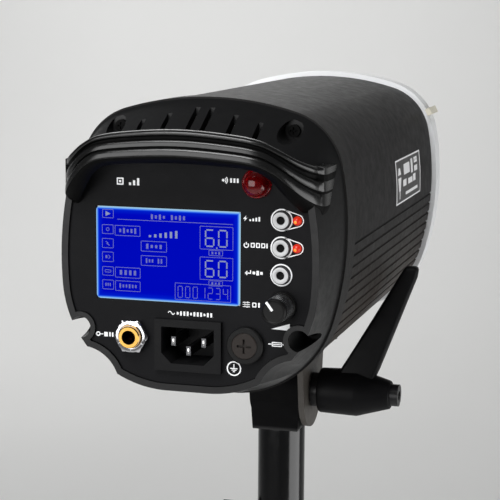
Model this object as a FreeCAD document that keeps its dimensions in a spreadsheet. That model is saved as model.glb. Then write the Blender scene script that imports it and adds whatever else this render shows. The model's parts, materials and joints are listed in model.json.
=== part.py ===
import FreeCAD, Part
import math
import os
import re

import Sketcher
from FreeCAD import Placement, Rotation, Vector

# A monolight strobe (compact studio flash).  Millimetres, +Z up, the flash fires along +Y.
# The origin is the centre of the mouth of the stand socket.  The head has a frame of its own:
# y is 0 on the face of the control panel and z is 0 at the level the housing's sizes are given from.

SIZES = {
    # where the head and its hinge stand over the stand socket
    "tilt_height": 86.5,
    "head_height": 172,
    "tilt_to_panel": 161,
    # outline of the extruded housing
    "shell_half": 63.5,
    "shell_top": 78,
    "shell_bottom": 56,
    "crown_radius": 140,
    "side_radius": 150,
    "upper_corner": 30,
    "lower_corner": 48,
    "widest_level": 21,
    "shell_wall": 2.5,
    "shell_start": 47,
    "shell_end": 252,
    "groove_radius": 0.8,
    "groove_first": 12.4,
    "groove_pitch": 5.5,
    # outline of the control panel and of the rim round it
    "panel_half": 56,
    "panel_top": 57,
    "panel_bottom": 46.5,
    "panel_upper_corner": 22,
    "panel_lower_corner": 46,
    "panel_widest": 8,
    "panel_thickness": 2.5,
    "panel_fit": 0.15,
    "rim_grow": 3.2,
    "rim_proud": 1.2,
    "lip_depth": 2.5,
    "lip_width": 3,
    "collar_start": 31,
    "collar_grow": 0.8,
    # hollows in the lower corners of the rear cover
    "hollow_x": 50,
    "hollow_z": -50,
    "hollow_radius": 18,
    "hollow_end_radius": 9,
    "hollow_wall": 3,
    # screw wells of the rear cover
    "well_radius": 4.8,
    "well_wall": 2.2,
    "well_floor": 27,
    "upper_well_x": 40.5,
    "upper_well_z": 65,
    "lower_well_x": 50.5,
    "lower_well_z": -23.5,
    "screw_radius": 1.5,
    "screw_head_radius": 2.8,
    "screw_head_height": 2,
    "post_radius": 3,
    "vent_width": 2.3,
    # handle
    "handle_thickness": 7,
    "handle_rear": 20,
    "handle_bend_x": 29.3,
    "handle_bend_radius": 30.7,
    "handle_end_y": 26,
    "handle_screw_y": 9,
    "handle_screw_z": 43,
    "handle_screw_sink": 0.3,
    "handle_head_height": 1.6,
    # controls on the panel
    "lcd_width": 66.8,
    "lcd_height": 41.5,
    "lcd_x": -9.6,
    "lcd_z": 10.75,
    "button_x": 42.15,
    "button_radius": 3.95,
    "test_z": 28.8,
    "power_z": 16.8,
    "enter_z": 4.9,
    "led_x": 49.1,
    "led_radius": 2,
    "knob_x": 43,
    "knob_z": -8.3,
    "knob_radius": 5.5,
    "knob_skirt_radius": 6.3,
    "knob_height": 16,
    "shaft_radius": 3,
    "running_fit": 0.05,
    "jack_x": -26,
    "jack_z": -26,
    "jack_radius": 5,
    "jack_bore": 3.2,
    "jack_proud": 5.6,
    "jack_nut_flats": 14,
    "fuse_x": 26.6,
    "fuse_z": -26.9,
    "fuse_flange_radius": 8.25,
    "fuse_cap_radius": 5.75,
    "inlet_x": 0.3,
    "inlet_z": -28.85,
    "inlet_width": 30.7,
    "inlet_height": 23.1,
    "cell_x": 31,
    "cell_z": 44.2,
    "cell_radius": 6.5,
    # front end
    "ring_grow": 2.6,
    "ring_end": 264,
    "optic_z": 11,
    "throat_radius": 49,
    "bayonet_radius": 54,
    "plate_start": 247,
    "plate_thickness": 2.5,
    "tube_loop_radius": 30,
    "tube_radius": 4.5,
    "latch_angle": 27.5,
    # inside
    "board_face": 8.4,
    "bulkhead_start": 56,
    "board_thickness": 1.6,
    "capacitor_radius": 17.5,
    "capacitor_length": 80,
    "fan_size": 60,
    "fan_depth": 15,
    # bracket, stand adapter and tilt lever
    "block_half": 14,
    "block_radius": 15,
    "sleeve_radius": 12.7,
    "socket_radius": 8.1,
    "socket_depth": 56,
    "ear_gap": 0.2,
    "ear_thickness": 3,
    "ear_radius": 20,
    "bolt_radius": 4,
    "bolt_recess_radius": 8.2,
    "bolt_recess_depth": 7,
    "collar_radius": 9.15,
    "hub_start": 21.5,
    "hub_radius": 12,
    "hub_waist_radius": 12.6,
    "hub_end_radius": 7.35,
    "hub_waist": 42,
    "hub_end": 60,
    "saddle_screw_x": 22,
    "saddle_screw_y": 20,
    "saddle_screw_radius": 2,
    "lock_height": 10,
    "lock_knob_radius": 9.5,
}

doc = FreeCAD.newDocument("monolight_strobe")
sheet = doc.addObject("Spreadsheet::Sheet", "Sizes")
for row, (alias, value) in enumerate(SIZES.items(), start=1):
    sheet.set(f"A{row}", alias)
    sheet.set(f"B{row}", str(value))
    sheet.setAlias(f"B{row}", alias)
doc.recompute()

GROOVE_COUNT = 9
ORIGIN = (-1, 1)
X_LINE, Z_LINE = -1, -2
ALONG = {
    "x": Rotation(Vector(0, 1, 0), 90),
    "-x": Rotation(Vector(0, 1, 0), -90),
    "y": Rotation(Vector(1, 0, 0), -90),
    "-y": Rotation(Vector(1, 0, 0), 90),
    "z": Rotation(),
}
pieces = {}


# ---------------------------------------------------------------- sheet and placing

def cells(expression):
    """Write each alias in an expression as a cell of the sheet."""
    def cell(match):
        return f"Sizes.{match[0]}" if match[0] in SIZES else match[0]
    return re.sub(r"[A-Za-z_]\w*", cell, str(expression))


def size(expression):
    """The number that an expression made of the sheet's cells comes to."""
    return float(reader.evalExpression(cells(expression)))


def bind(feature, **expressions):
    """Bind properties of a feature to the sheet."""
    for name, expression in expressions.items():
        feature.setExpression(name, cells(expression))


def head(x, y, z):
    """A point of the head's own frame, as expressions in the object's frame."""
    return x, f"({y}) - tilt_to_panel", f"({z}) + head_height"


def place(feature, point, rotation=Rotation()):
    """Turn a feature and bind its position to the sheet."""
    feature.Placement = Placement(Vector(), rotation)
    for axis, expression in zip("xyz", point):
        feature.setExpression(f"Placement.Base.{axis}", cells(expression))
    return feature


def keep(node, feature):
    """Name a finished sub-part: the label names its file."""
    feature.Label = node
    pieces[node] = feature
    return feature


reader = doc.addObject("App::FeaturePython", "Reader")


# ---------------------------------------------------------------- primitives and booleans

def cylinder(name, radius, length, start, axis="y"):
    solid = doc.addObject("Part::Cylinder", name)
    bind(solid, Radius=radius, Height=length)
    return place(solid, start, ALONG[axis])


def cone(name, radius, end_radius, length, start, axis="y"):
    solid = doc.addObject("Part::Cone", name)
    bind(solid, Radius1=radius, Radius2=end_radius, Height=length)
    return place(solid, start, ALONG[axis])


def ball(name, radius, centre):
    solid = doc.addObject("Part::Sphere", name)
    bind(solid, Radius=radius)
    return place(solid, centre)


def block(name, extent, centre):
    """A box of the given extent round its centre."""
    solid = doc.addObject("Part::Box", name)
    bind(solid, Length=extent[0], Width=extent[1], Height=extent[2])
    corner = [f"({middle}) - ({length}) / 2" for middle, length in zip(centre, extent)]
    return place(solid, corner)


def fuse(name, *solids):
    joined = doc.addObject("Part::MultiFuse", name)
    joined.Shapes = list(solids)
    return joined


def group(name, *solids):
    """Identical pieces that share one node stay separate solids."""
    together = doc.addObject("Part::Compound", name)
    together.Links = list(solids)
    return together


def cut(name, base, *tools):
    result = doc.addObject("Part::Cut", name)
    result.Base = base
    result.Tool = tools[0] if len(tools) == 1 else fuse(f"{name}_tools", *tools)
    return result


def common(name, first, second):
    result = doc.addObject("Part::Common", name)
    result.Base = first
    result.Tool = second
    return result


# ---------------------------------------------------------------- sketches and bodies

def sketch_in(body, role, offset="0"):
    """A sketch on one of the body's own planes, moved along the plane's normal."""
    plane = next(item for item in body.Origin.OriginFeatures if item.Role == role)
    sketch = body.newObject("Sketcher::SketchObject", f"{body.Name}_sketch")
    sketch.AttachmentSupport = (plane, [""])
    sketch.MapMode = "FlatFace"
    sketch.setExpression("AttachmentOffset.Base.z", cells(offset))
    return sketch


def hold(sketch, kind, line, edge, end, expression):
    """Bind one coordinate of a point of a sketch, measured from the origin."""
    value = size(expression)
    if abs(value) < 1e-9:
        sketch.addConstraint(Sketcher.Constraint("PointOnObject", edge, end, line))
        return
    index = sketch.addConstraint(Sketcher.Constraint(kind, *ORIGIN, edge, end, value))
    sketch.setExpression(f"Constraints[{index}]", cells(expression))


def hold_point(sketch, edge, end, x, y):
    hold(sketch, "DistanceX", Z_LINE, edge, end, x)
    hold(sketch, "DistanceY", X_LINE, edge, end, y)


def hold_radius(sketch, edge, expression):
    index = sketch.addConstraint(Sketcher.Constraint("Radius", edge, size(expression)))
    sketch.setExpression(f"Constraints[{index}]", cells(expression))


def draw_polygon(sketch, points):
    """A closed polygon with every corner bound to the sheet."""
    corners = [Vector(size(x), size(y), 0) for x, y in points]
    first = sketch.GeometryCount
    count = len(points)
    for index, corner in enumerate(corners):
        sketch.addGeometry(Part.LineSegment(corner, corners[(index + 1) % count]))
    for index in range(count):
        following = first + (index + 1) % count
        sketch.addConstraint(Sketcher.Constraint("Coincident", first + index, 2, following, 1))
    for index, (x, y) in enumerate(points):
        hold_point(sketch, first + index, 1, x, y)


def draw_circle(sketch, x, y, radius):
    centre = Vector(size(x), size(y), 0)
    edge = sketch.addGeometry(Part.Circle(centre, Vector(0, 0, 1), size(radius)))
    hold_point(sketch, edge, 3, x, y)
    hold_radius(sketch, edge, radius)


def draw_outline(sketch, family, grow="0"):
    """The housing's outline: a crowned top, bowed sides, round corners and a flat base.

    The eight pieces run anticlockwise from the base line, each tangent to the next.
    """
    prefix, widest = family
    half = f"({prefix}_half + {grow})"
    top = f"({prefix}_top + {grow})"
    bottom = f"({prefix}_bottom + {grow})"
    crown = f"(crown_radius + {grow})"
    side = f"(side_radius + {grow})"
    corner_prefix = "" if prefix == "shell" else f"{prefix}_"
    upper = f"({corner_prefix}upper_corner + {grow})"
    lower = f"({corner_prefix}lower_corner + {grow})"

    crown_centre = Vector(0, size(f"{top} - {crown}"), 0)
    side_centre = Vector(size(f"{half} - {side}"), size(widest), 0)
    upper_centre = meeting(crown_centre, size(f"{crown} - {upper}"),
                           side_centre, size(f"{side} - {upper}"))
    lower_z = size(f"{lower} - {bottom}")
    drop = lower_z - side_centre.y
    lower_centre = Vector(side_centre.x + math.sqrt(size(f"{side} - {lower}") ** 2 - drop ** 2),
                          lower_z, 0)

    upper_start = heading(side_centre, upper_centre)
    upper_end = heading(crown_centre, upper_centre)
    side_start = heading(side_centre, lower_centre)
    right = [
        (lower_centre, lower, -math.pi / 2, side_start),
        (side_centre, side, side_start, upper_start),
        (upper_centre, upper, upper_start, upper_end),
    ]
    left = [(Vector(-c.x, c.y, 0), r, math.pi - b, math.pi - a) for c, r, a, b in reversed(right)]
    crown_arc = (crown_centre, crown, upper_end, math.pi - upper_end)

    base_z = -size(bottom)
    sketch.addGeometry(Part.LineSegment(Vector(-lower_centre.x, base_z, 0),
                                        Vector(lower_centre.x, base_z, 0)))
    for centre, radius, start, end in [*right, crown_arc, *left]:
        circle = Part.Circle(centre, Vector(0, 0, 1), size(radius))
        sketch.addGeometry(Part.ArcOfCircle(circle, start, end))

    count = 8
    for index in range(count):
        sketch.addConstraint(Sketcher.Constraint("Tangent", index, 2, (index + 1) % count, 1))
    for one, other in ((1, 7), (2, 6), (3, 5)):
        sketch.addConstraint(Sketcher.Constraint("Equal", one, other))
    for edge, radius in ((1, lower), (2, side), (3, upper), (4, crown)):
        hold_radius(sketch, edge, radius)
    sketch.addConstraint(Sketcher.Constraint("Horizontal", 0))
    sketch.addConstraint(Sketcher.Constraint("Symmetric", 2, 3, 6, 3, Z_LINE))
    hold(sketch, "DistanceX", Z_LINE, 6, 3, f"{side} - {half}")
    hold(sketch, "DistanceY", X_LINE, 6, 3, widest)
    hold(sketch, "DistanceX", Z_LINE, 4, 3, "0")
    hold(sketch, "DistanceY", X_LINE, 4, 3, f"{top} - {crown}")
    hold(sketch, "DistanceY", X_LINE, 0, 1, f"-{bottom}")


def heading(start, end):
    return math.atan2(end.y - start.y, end.x - start.x)


def meeting(first, first_radius, second, second_radius):
    """The upper right point where two circles meet."""
    apart = second - first
    distance = apart.Length
    along = (first_radius ** 2 - second_radius ** 2 + distance ** 2) / (2 * distance)
    across = math.sqrt(first_radius ** 2 - along ** 2)
    unit = apart / distance
    normal = Vector(unit.y, -unit.x, 0)
    candidates = [first + unit * along + normal * across, first + unit * along - normal * across]
    return max(candidates, key=lambda point: point.x + point.y)


SHELL = ("shell", "widest_level")
PANEL = ("panel", "panel_widest")


def new_body(name, point=None, rotation=Rotation()):
    body = doc.addObject("PartDesign::Body", name)
    place(body, point or head("0", "0", "0"), rotation)
    return body


def pad(body, draw, start, length, role="XZ_Plane"):
    """Raise a sketch from y = start (z = start on the XY plane) by a length."""
    upside = role == "XZ_Plane"
    sketch = sketch_in(body, role, f"-({start})" if upside else start)
    draw(sketch)
    feature = body.newObject("PartDesign::Pad", f"{body.Name}_pad")
    feature.Profile = sketch
    feature.Reversed = upside
    bind(feature, Length=length)
    doc.recompute()
    return body


def pocket(body, draw, start, length, role="XZ_Plane"):
    """Sink a sketch from y = start by a length towards +Y, and make sure that it cuts."""
    before = body.Shape.Volume
    sketch = sketch_in(body, role, f"-({start})")
    draw(sketch)
    feature = body.newObject("PartDesign::Pocket", f"{body.Name}_pocket")
    feature.Profile = sketch
    bind(feature, Length=length)
    doc.recompute()
    if body.Shape.Volume > before - 1e-6:
        raise RuntimeError(f"{body.Name}: a pocket cuts nothing")
    return body


def turned(name, profile, point, axis="y"):
    """A body of revolution: its profile is given as (distance along the axis, radius)."""
    body = new_body(name, point, ALONG[axis])
    sketch = sketch_in(body, "XZ_Plane")
    draw_polygon(sketch, [(radius, along) for along, radius in profile])
    feature = body.newObject("PartDesign::Revolution", f"{name}_revolution")
    feature.Profile = sketch
    feature.ReferenceAxis = (sketch, ["V_Axis"])
    feature.Angle = 360
    doc.recompute()
    return body


def prism(name, draw, start, length, point=None):
    return pad(new_body(name, point), draw, start, length)


def outline(family, grow="0"):
    return lambda sketch: draw_outline(sketch, family, grow)


def polygon(*points):
    return lambda sketch: draw_polygon(sketch, points)


def circle(x, y, radius):
    return lambda sketch: draw_circle(sketch, x, y, radius)


def loft(name, near, near_y, far, far_y):
    """A ruled solid between two outlines on two planes across the head."""
    body = new_body(name)
    sections = []
    for draw, level in ((near, near_y), (far, far_y)):
        sketch = sketch_in(body, "XZ_Plane", f"-({level})")
        draw(sketch)
        sections.append(sketch)
    feature = body.newObject("PartDesign::AdditiveLoft", f"{name}_loft")
    feature.Profile = sections[0]
    feature.Sections = [(sections[1], [""])]
    feature.Ruled = True
    doc.recompute()
    return body


WELLS = [(f"{sign} * {level}_well_x", f"{level}_well_z")
         for level in ("upper", "lower") for sign in (1, -1)]


def at_wells(name, radius, start, length, grow="0"):
    return [cylinder(f"{name}_{index}", f"{radius} + {grow}", length, head(x, start, z))
            for index, (x, z) in enumerate(WELLS)]


def at_hollows(name, grow="0"):
    """Tapering cutters that scoop the lower corners of the rear cover."""
    return [cone(f"{name}_{index}", f"hollow_radius + {grow}", f"hollow_end_radius + {grow}",
                 "collar_start + rim_proud + 0.02",
                 head(f"{sign} * hollow_x", "-rim_proud - 0.01", "hollow_z"))
            for index, sign in enumerate((1, -1))]


# ---------------------------------------------------------------- housing

def make_shell():
    """The extruded tube, with lengthwise grooves low on both sides."""
    body = prism("shell_tube", outline(SHELL), "shell_start", "shell_end - shell_start")
    pocket(body, outline(SHELL, "(-shell_wall)"), "shell_start", "shell_end - shell_start")
    side_x = size("shell_half - side_radius")
    lower_z = size("lower_corner - shell_bottom")
    corner_x = lower_centre_x()
    fall = (lower_z - size("widest_level")) / size("side_radius - lower_corner")
    touch_z = size("widest_level") + fall * size("side_radius")
    grooves = []
    for index in range(GROOVE_COUNT):
        level = size(f"groove_first - {index} * groove_pitch")
        side_reach = side_x + math.sqrt(size("side_radius") ** 2 - (level - size("widest_level")) ** 2)
        corner_reach = corner_x + math.sqrt(size("lower_corner") ** 2 - (level - lower_z) ** 2)
        reach = side_reach if level > touch_z else corner_reach
        for sign in (-1, 1):
            grooves.append(cylinder("groove", "groove_radius", "shell_end - shell_start",
                                    head(str(sign * reach), "shell_start", str(level))))
    holes = at_saddle_corners("shell_hole", "saddle_screw_radius + 0.1", "14", "60")
    keep("body_shell", cut("shell_grooved", body, *grooves, *holes))


def lower_centre_x():
    """Where the centre of the housing's lower corners lies."""
    drop = size("lower_corner - shell_bottom - widest_level")
    reach = size("side_radius - lower_corner")
    return size("shell_half - side_radius") + math.sqrt(reach ** 2 - drop ** 2)


def make_collar():
    body = prism("collar_ring", outline(SHELL, "collar_grow"), "collar_start",
                 "shell_start - collar_start")
    pocket(body, outline(SHELL, "(-shell_wall)"), "collar_start", "shell_start - collar_start")
    keep("rear_collar", body)


def make_rear_cover():
    """A tapering moulded cover: panel recess, four screw wells and six vent slots."""
    form = loft("cover_form", outline(PANEL, "rim_grow"), "-rim_proud", outline(SHELL), "collar_start")
    cavity = loft("cover_cavity", outline(PANEL, "(-lip_width / 2)"), "panel_thickness + lip_depth",
                  outline(SHELL, "(-shell_wall)"), "collar_start + 0.01")
    hollow = cut("cover_hollow", form, cavity)
    pillars = fuse("cover_pillars", *at_wells("pillar", "well_radius", "-rim_proud",
                                              "collar_start + rim_proud", "well_wall"),
                   *at_hollows("hollow_wall", "2.2"))
    walled = fuse("cover_walled", hollow, common("cover_wells", pillars, form))
    bores = at_wells("well", "well_radius", "-rim_proud - 1", "well_floor + rim_proud + 1")
    holes = at_wells("well_hole", "screw_radius", "well_floor - 1", "collar_start - well_floor + 2",
                     "running_fit")
    recess = prism("cover_recess", outline(PANEL, "panel_fit"), "-rim_proud - 1",
                   "panel_thickness + rim_proud + 1")
    window = prism("cover_window", outline(PANEL, "(-lip_width)"), "-rim_proud - 1",
                   "panel_thickness + lip_depth + rim_proud + 1.5")
    keep_walls = fuse("kept_walls", *at_wells("kept_well", "well_radius", "-rim_proud - 2", "14",
                                              "well_wall"),
                      *at_hollows("kept_hollow", "(hollow_wall - panel_fit)"))
    recess = cut("recess_trimmed", recess, keep_walls)
    window = cut("window_trimmed", window, keep_walls)
    vents = []
    for x, reach in ((3.4, 24.5), (15.4, 21), (27.3, 19)):
        for sign in (-1, 1):
            length = f"{reach} - 7"
            vents.append(block("vent", ("vent_width", length, "40"),
                               head(str(sign * x), f"7 + ({length}) / 2", "72")))
    handle_holes = [
        *at_handle_ends("cover_side_hole", "screw_radius + running_fit", "10"),
        *at_handle_ends("cover_side_seat", "screw_head_radius + running_fit",
                        "handle_screw_sink + handle_head_height"),
    ]
    keep("rear_cover", cut("cover", walled, recess, window, *at_hollows("hollow"), *bores, *holes,
                           *vents, *handle_holes))
    return form


def make_panel():
    """The flat plate that holds every control and socket."""
    plate = prism("panel_plate", outline(PANEL), "0", "panel_thickness")
    openings = [
        *[cylinder("panel_hollow", "hollow_radius + hollow_wall", "10",
                   head(f"{sign} * hollow_x", "-3", "hollow_z")) for sign in (1, -1)],
        *at_wells("panel_notch", "well_radius", "-1", "panel_thickness + 2", "well_wall + panel_fit"),
        block("lcd_opening", ("lcd_width", "10", "lcd_height"), head("lcd_x", "1", "lcd_z")),
        block("inlet_opening", ("27.4", "10", "19.8"), head("inlet_x", "1", "inlet_z")),
        cylinder("jack_opening", "jack_radius", "10", head("jack_x", "-3", "jack_z")),
        cylinder("fuse_opening", "6.5", "10", head("fuse_x", "-3", "fuse_z")),
        cylinder("knob_opening", "4", "10", head("knob_x", "-3", "knob_z")),
        cylinder("cell_opening", "5", "10", head("cell_x", "-3", "cell_z")),
    ]
    for level in ("test_z", "power_z", "enter_z"):
        openings.append(cylinder("button_opening", "button_radius + 0.15", "10",
                                 head("button_x", "-3", level)))
    for level in ("test_z", "power_z"):
        openings.append(cylinder("led_opening", "led_radius", "10", head("led_x", "-3", level)))
    keep("control_panel", cut("panel", plate, *openings))


def make_handle(form):
    """A strap that arches over the panel: a band in plan crossed with an arch in elevation."""
    band = new_body("handle_band", head("0", "0", "0"))
    pad(band, draw_handle_plan, "25", "50", role="XY_Plane")
    arch = prism("handle_arch", draw_handle_arch, "-30", "70")
    strap = common("handle_strap", band, arch)
    holes = at_handle_ends("handle_hole", "screw_radius + running_fit", "10")
    seats = at_handle_ends("handle_seat", "screw_head_radius + running_fit",
                           "handle_screw_sink + handle_head_height")
    keep("carry_handle", cut("handle_drilled", strap, form, *holes, *seats))
    shanks = at_handle_ends("handle_screw_shank", "screw_radius", "9", "handle_screw_sink")
    heads = at_handle_ends("handle_screw_head", "screw_head_radius", "handle_head_height",
                           "handle_screw_sink")
    screws = [fuse("handle_screw", top_end, shank) for top_end, shank in zip(heads, shanks)]
    keep("handle_screws", group("handle_screw_group", *screws))


def at_handle_ends(name, radius, length, sunk="0"):
    """Cylinders that point inwards where a screw holds each end of the handle."""
    return [cylinder(name, radius, length,
                     head(f"{sign} * (handle_bend_x + handle_bend_radius - {sunk})", "handle_screw_y",
                          "handle_screw_z"), axis)
            for sign, axis in ((1, "-x"), (-1, "x"))]


def draw_handle_plan(sketch):
    """The strap seen from above: straight across the back, round bends, straight ends."""
    bend_x = size("handle_bend_x")
    end_y = size("handle_end_y")
    centre_y = size("handle_bend_radius - handle_rear")
    outer = size("handle_bend_radius")
    inner = outer - size("handle_thickness")
    side = bend_x + outer
    inside = bend_x + inner
    normal = Vector(0, 0, 1)

    def corner(x, radius, start, end):
        ring = Part.Circle(Vector(x, centre_y, 0), normal, radius)
        return Part.ArcOfCircle(ring, start, end)

    def straight(x0, y0, x1, y1):
        return Part.LineSegment(Vector(x0, y0, 0), Vector(x1, y1, 0))

    half_turn, quarter = math.pi, math.pi / 2
    edges = [
        straight(-side, end_y, -side, centre_y),
        corner(-bend_x, outer, half_turn, half_turn + quarter),
        straight(-bend_x, centre_y - outer, bend_x, centre_y - outer),
        corner(bend_x, outer, -quarter, 0),
        straight(side, centre_y, side, end_y),
        straight(side, end_y, inside, end_y),
        straight(inside, end_y, inside, centre_y),
        corner(bend_x, inner, -quarter, 0),
        straight(bend_x, centre_y - inner, -bend_x, centre_y - inner),
        corner(-bend_x, inner, half_turn, half_turn + quarter),
        straight(-inside, centre_y, -inside, end_y),
        straight(-inside, end_y, -side, end_y),
    ]
    sketch.addGeometry(edges)
    for edges_bent, radius in (((1, 3), "handle_bend_radius"),
                               ((7, 9), "handle_bend_radius - handle_thickness")):
        for edge in edges_bent:
            hold_radius(sketch, edge, radius)


def draw_handle_arch(sketch):
    """The strap seen from behind: low crown, bends at the shoulders, sloping ends."""
    upper = [(-68, 47.2), (-52.4, 56.1), (-45.3, 60.4), (-37, 64), (0, 67.6)]
    lower = [(-68, 28.5), (-59.8, 29.2), (-47.2, 42.6), (-42.2, 47.2), (-35, 50.6), (0, 53)]
    rising = [Vector(x, z, 0) for x, z in upper]
    falling = [Vector(x, z, 0) for x, z in lower]

    def mirrored(point):
        return Vector(-point.x, point.y, 0)

    left, bend, shoulder, corner, crown = rising
    low_left, low_end, low_bend, low_shoulder, low_corner = falling[:5]
    low_crown = falling[5]
    edges = [
        Part.LineSegment(left, bend),
        Part.Arc(bend, shoulder, corner),
        Part.Arc(corner, crown, mirrored(corner)),
        Part.Arc(mirrored(corner), mirrored(shoulder), mirrored(bend)),
        Part.LineSegment(mirrored(bend), mirrored(left)),
        Part.LineSegment(mirrored(left), mirrored(low_left)),
        Part.LineSegment(mirrored(low_left), mirrored(low_end)),
        Part.LineSegment(mirrored(low_end), mirrored(low_bend)),
        Part.Arc(mirrored(low_bend), mirrored(low_shoulder), mirrored(low_corner)),
        Part.Arc(mirrored(low_corner), low_crown, low_corner),
        Part.Arc(low_corner, low_shoulder, low_bend),
        Part.LineSegment(low_bend, low_end),
        Part.LineSegment(low_end, low_left),
        Part.LineSegment(low_left, left),
    ]
    sketch.addGeometry(edges)


# ---------------------------------------------------------------- controls and sockets

def make_display():
    clear = "0.2"
    keep("lcd_window", block("lcd_window_plate",
                             (f"lcd_width - {clear}", "1.5", f"lcd_height - {clear}"),
                             head("lcd_x", "0.45", "lcd_z")))
    glass = block("lcd_glass", (f"lcd_width - {clear}", "1.3", f"lcd_height - {clear}"),
                  head("lcd_x", "1.85", "lcd_z"))
    frame = block("lcd_frame", ("lcd_width + 3", "4", "lcd_height + 5"), head("lcd_x", "4.5", "lcd_z"))
    keep("lcd_module", fuse("lcd_parts", glass, frame))


def make_control_board():
    """The board behind the panel, on four standoffs, with the switches of the three buttons."""
    board = block("control_board_plate", ("100.5", "board_thickness", "46"),
                  head("1.75", "board_face + board_thickness / 2", "7"))
    inlet_gap = block("board_gap_inlet", ("32", "6", "12"), head("inlet_x", "board_face", "-20"))
    keep("control_board", cut("control_board_cut", board, inlet_gap))
    standoffs = [cylinder("standoff", "2", "board_face - panel_thickness",
                          head(x, "panel_thickness", z))
                 for x, z in (("-47.3", "26"), ("-47.3", "-12"), ("33", "24"), ("33", "-12"))]
    keep("board_standoffs", group("standoffs", *standoffs))
    switches = [block("switch", ("6", "3.4", "6"), head("button_x", "board_face - 1.7", level))
                for level in ("test_z", "power_z", "enter_z")]
    keep("button_switches", group("switches", *switches))


def make_buttons():
    for node, level in (("test_button", "test_z"), ("power_button", "power_z"),
                        ("enter_button", "enter_z")):
        profile = [("0", "0"), ("0", "1.85"), ("-0.7", "1.85"), ("-0.7", "button_radius - 0.3"),
                   ("-0.4", "button_radius"), ("4.3", "button_radius"),
                   ("4.3", "button_radius + 0.8"), ("5.4", "button_radius + 0.8"), ("5.4", "0")]
        keep(node, turned(node, profile, head("button_x", "-1.5", level)))


def make_indicators():
    for node, level in (("test_led", "test_z"), ("power_led", "power_z")):
        barrel = cylinder("led_barrel", "led_radius - 0.05", "board_face + 0.4",
                          head("led_x", "-0.4", level))
        keep(node, fuse("led_parts", barrel, ball("led_dome", "led_radius - 0.05",
                                                  head("led_x", "-0.4", level))))


def make_mode_knob():
    """A knob with a skirt on the shaft of a rotary encoder."""
    encoder = fuse("encoder_parts",
                   block("encoder_case", ("11.6", "board_face - panel_thickness", "11.6"),
                         head("knob_x", "(panel_thickness + board_face) / 2", "knob_z")),
                   cylinder("encoder_bushing", "3.9", "panel_thickness", head("knob_x", "0", "knob_z")),
                   cylinder("encoder_shaft", "shaft_radius", "12", head("knob_x", "0", "knob_z"), "-y"))
    keep("mode_encoder", encoder)
    bore = "shaft_radius + running_fit"
    profile = [("0", bore), ("0", "knob_skirt_radius"), ("2.4", "knob_skirt_radius"),
               ("3", "knob_radius + 0.3"), ("knob_height - 1.6", "knob_radius"),
               ("knob_height - 1", "knob_radius - 0.5"), ("knob_height - 1", "0"),
               ("11.5", "0"), ("11.5", bore)]
    keep("mode_knob", turned("mode_knob", profile, head("knob_x", "-1", "knob_z"), "-y"))


def make_sync_socket():
    """A quarter inch jack socket clamped by a hexagon nut."""
    front = "jack_proud + panel_thickness"
    profile = [("0", "jack_bore"), ("0", "jack_radius - 0.4"), ("0.4", "jack_radius - 0.05"),
               (front, "jack_radius - 0.05"), (front, "7.5"), (f"{front} + 20", "7.5"),
               (f"{front} + 20", "0"), (f"{front} + 18", "0"), (f"{front} + 18", "jack_bore")]
    keep("sync_jack", turned("sync_jack", profile, head("jack_x", "-jack_proud", "jack_z")))
    nut = doc.addObject("Part::Prism", "jack_nut_blank")
    nut.Polygon = 6
    bind(nut, Circumradius="jack_nut_flats / sqrt(3)", Height="3.2")
    place(nut, head("jack_x", "0", "jack_z"), ALONG["-y"])
    keep("sync_nut", cut("jack_nut", nut, cylinder("jack_nut_bore", "jack_radius", "10",
                                                   head("jack_x", "-6", "jack_z"))))


def make_fuse():
    """A panel fuse holder with a bayonet cap and its glass fuse."""
    profile = [("0", "fuse_cap_radius + 0.15"), ("0", "fuse_flange_radius - 0.5"),
               ("0.5", "fuse_flange_radius"), ("3", "fuse_flange_radius"), ("3", "6.4"),
               ("36", "6.4"), ("36", "0"), ("34", "0"), ("34", "3.4"), ("12", "3.4"),
               ("12", "fuse_cap_radius + 0.15")]
    keep("fuse_holder", turned("fuse_holder", profile, head("fuse_x", "-3", "fuse_z")))
    cap_profile = [("0", "0"), ("0", "fuse_cap_radius - 0.4"), ("0.4", "fuse_cap_radius"),
                   ("11", "fuse_cap_radius"), ("11", "2.8"), ("8", "2.8"), ("8", "0")]
    cap = turned("fuse_cap_blank", cap_profile, head("fuse_x", "-3.6", "fuse_z"))
    slots = [block("fuse_slot", extent, head("fuse_x", "-3.6", "fuse_z"))
             for extent in (("6.4", "2.4", "1.1"), ("1.1", "2.4", "6.4"))]
    keep("fuse_cap", cut("fuse_cap_slotted", cap, *slots))
    keep("glass_fuse", cylinder("glass_fuse_tube", "2.6", "20", head("fuse_x", "4.6", "fuse_z")))


def make_inlet():
    """An appliance inlet with a flange, a keyed cavity and three blades."""
    flange = block("inlet_flange", ("inlet_width", "2.2", "inlet_height"),
                   head("inlet_x", "-1.1", "inlet_z"))
    shroud = block("inlet_shroud", ("27.2", "22", "19.6"), head("inlet_x", "11", "inlet_z"))
    half_width, half_height, chamfer = 12.2, 8.2, 4.6
    corners = [(-half_width, half_height), (half_width, half_height),
               (half_width, chamfer - half_height), (half_width - chamfer, -half_height),
               (chamfer - half_width, -half_height), (-half_width, chamfer - half_height)]
    keyed = polygon(*[(f"inlet_x + {x}", f"inlet_z + {z}") for x, z in corners])
    cavity = prism("inlet_cavity", keyed, "-3", "20")

    def at_pins(name, length):
        return [block(name, ("2", length, "4"), head(f"inlet_x + {x}", "12.5", f"inlet_z + {z}"))
                for x, z in ((-7, 1.6), (7, 1.6), (0, -2.4))]

    passages = at_pins("blade_passage", "30")
    keep("mains_inlet", cut("inlet", fuse("inlet_blank", flange, shroud), cavity, *passages))
    keep("inlet_pins", group("blades", *at_pins("blade", "26")))


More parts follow.
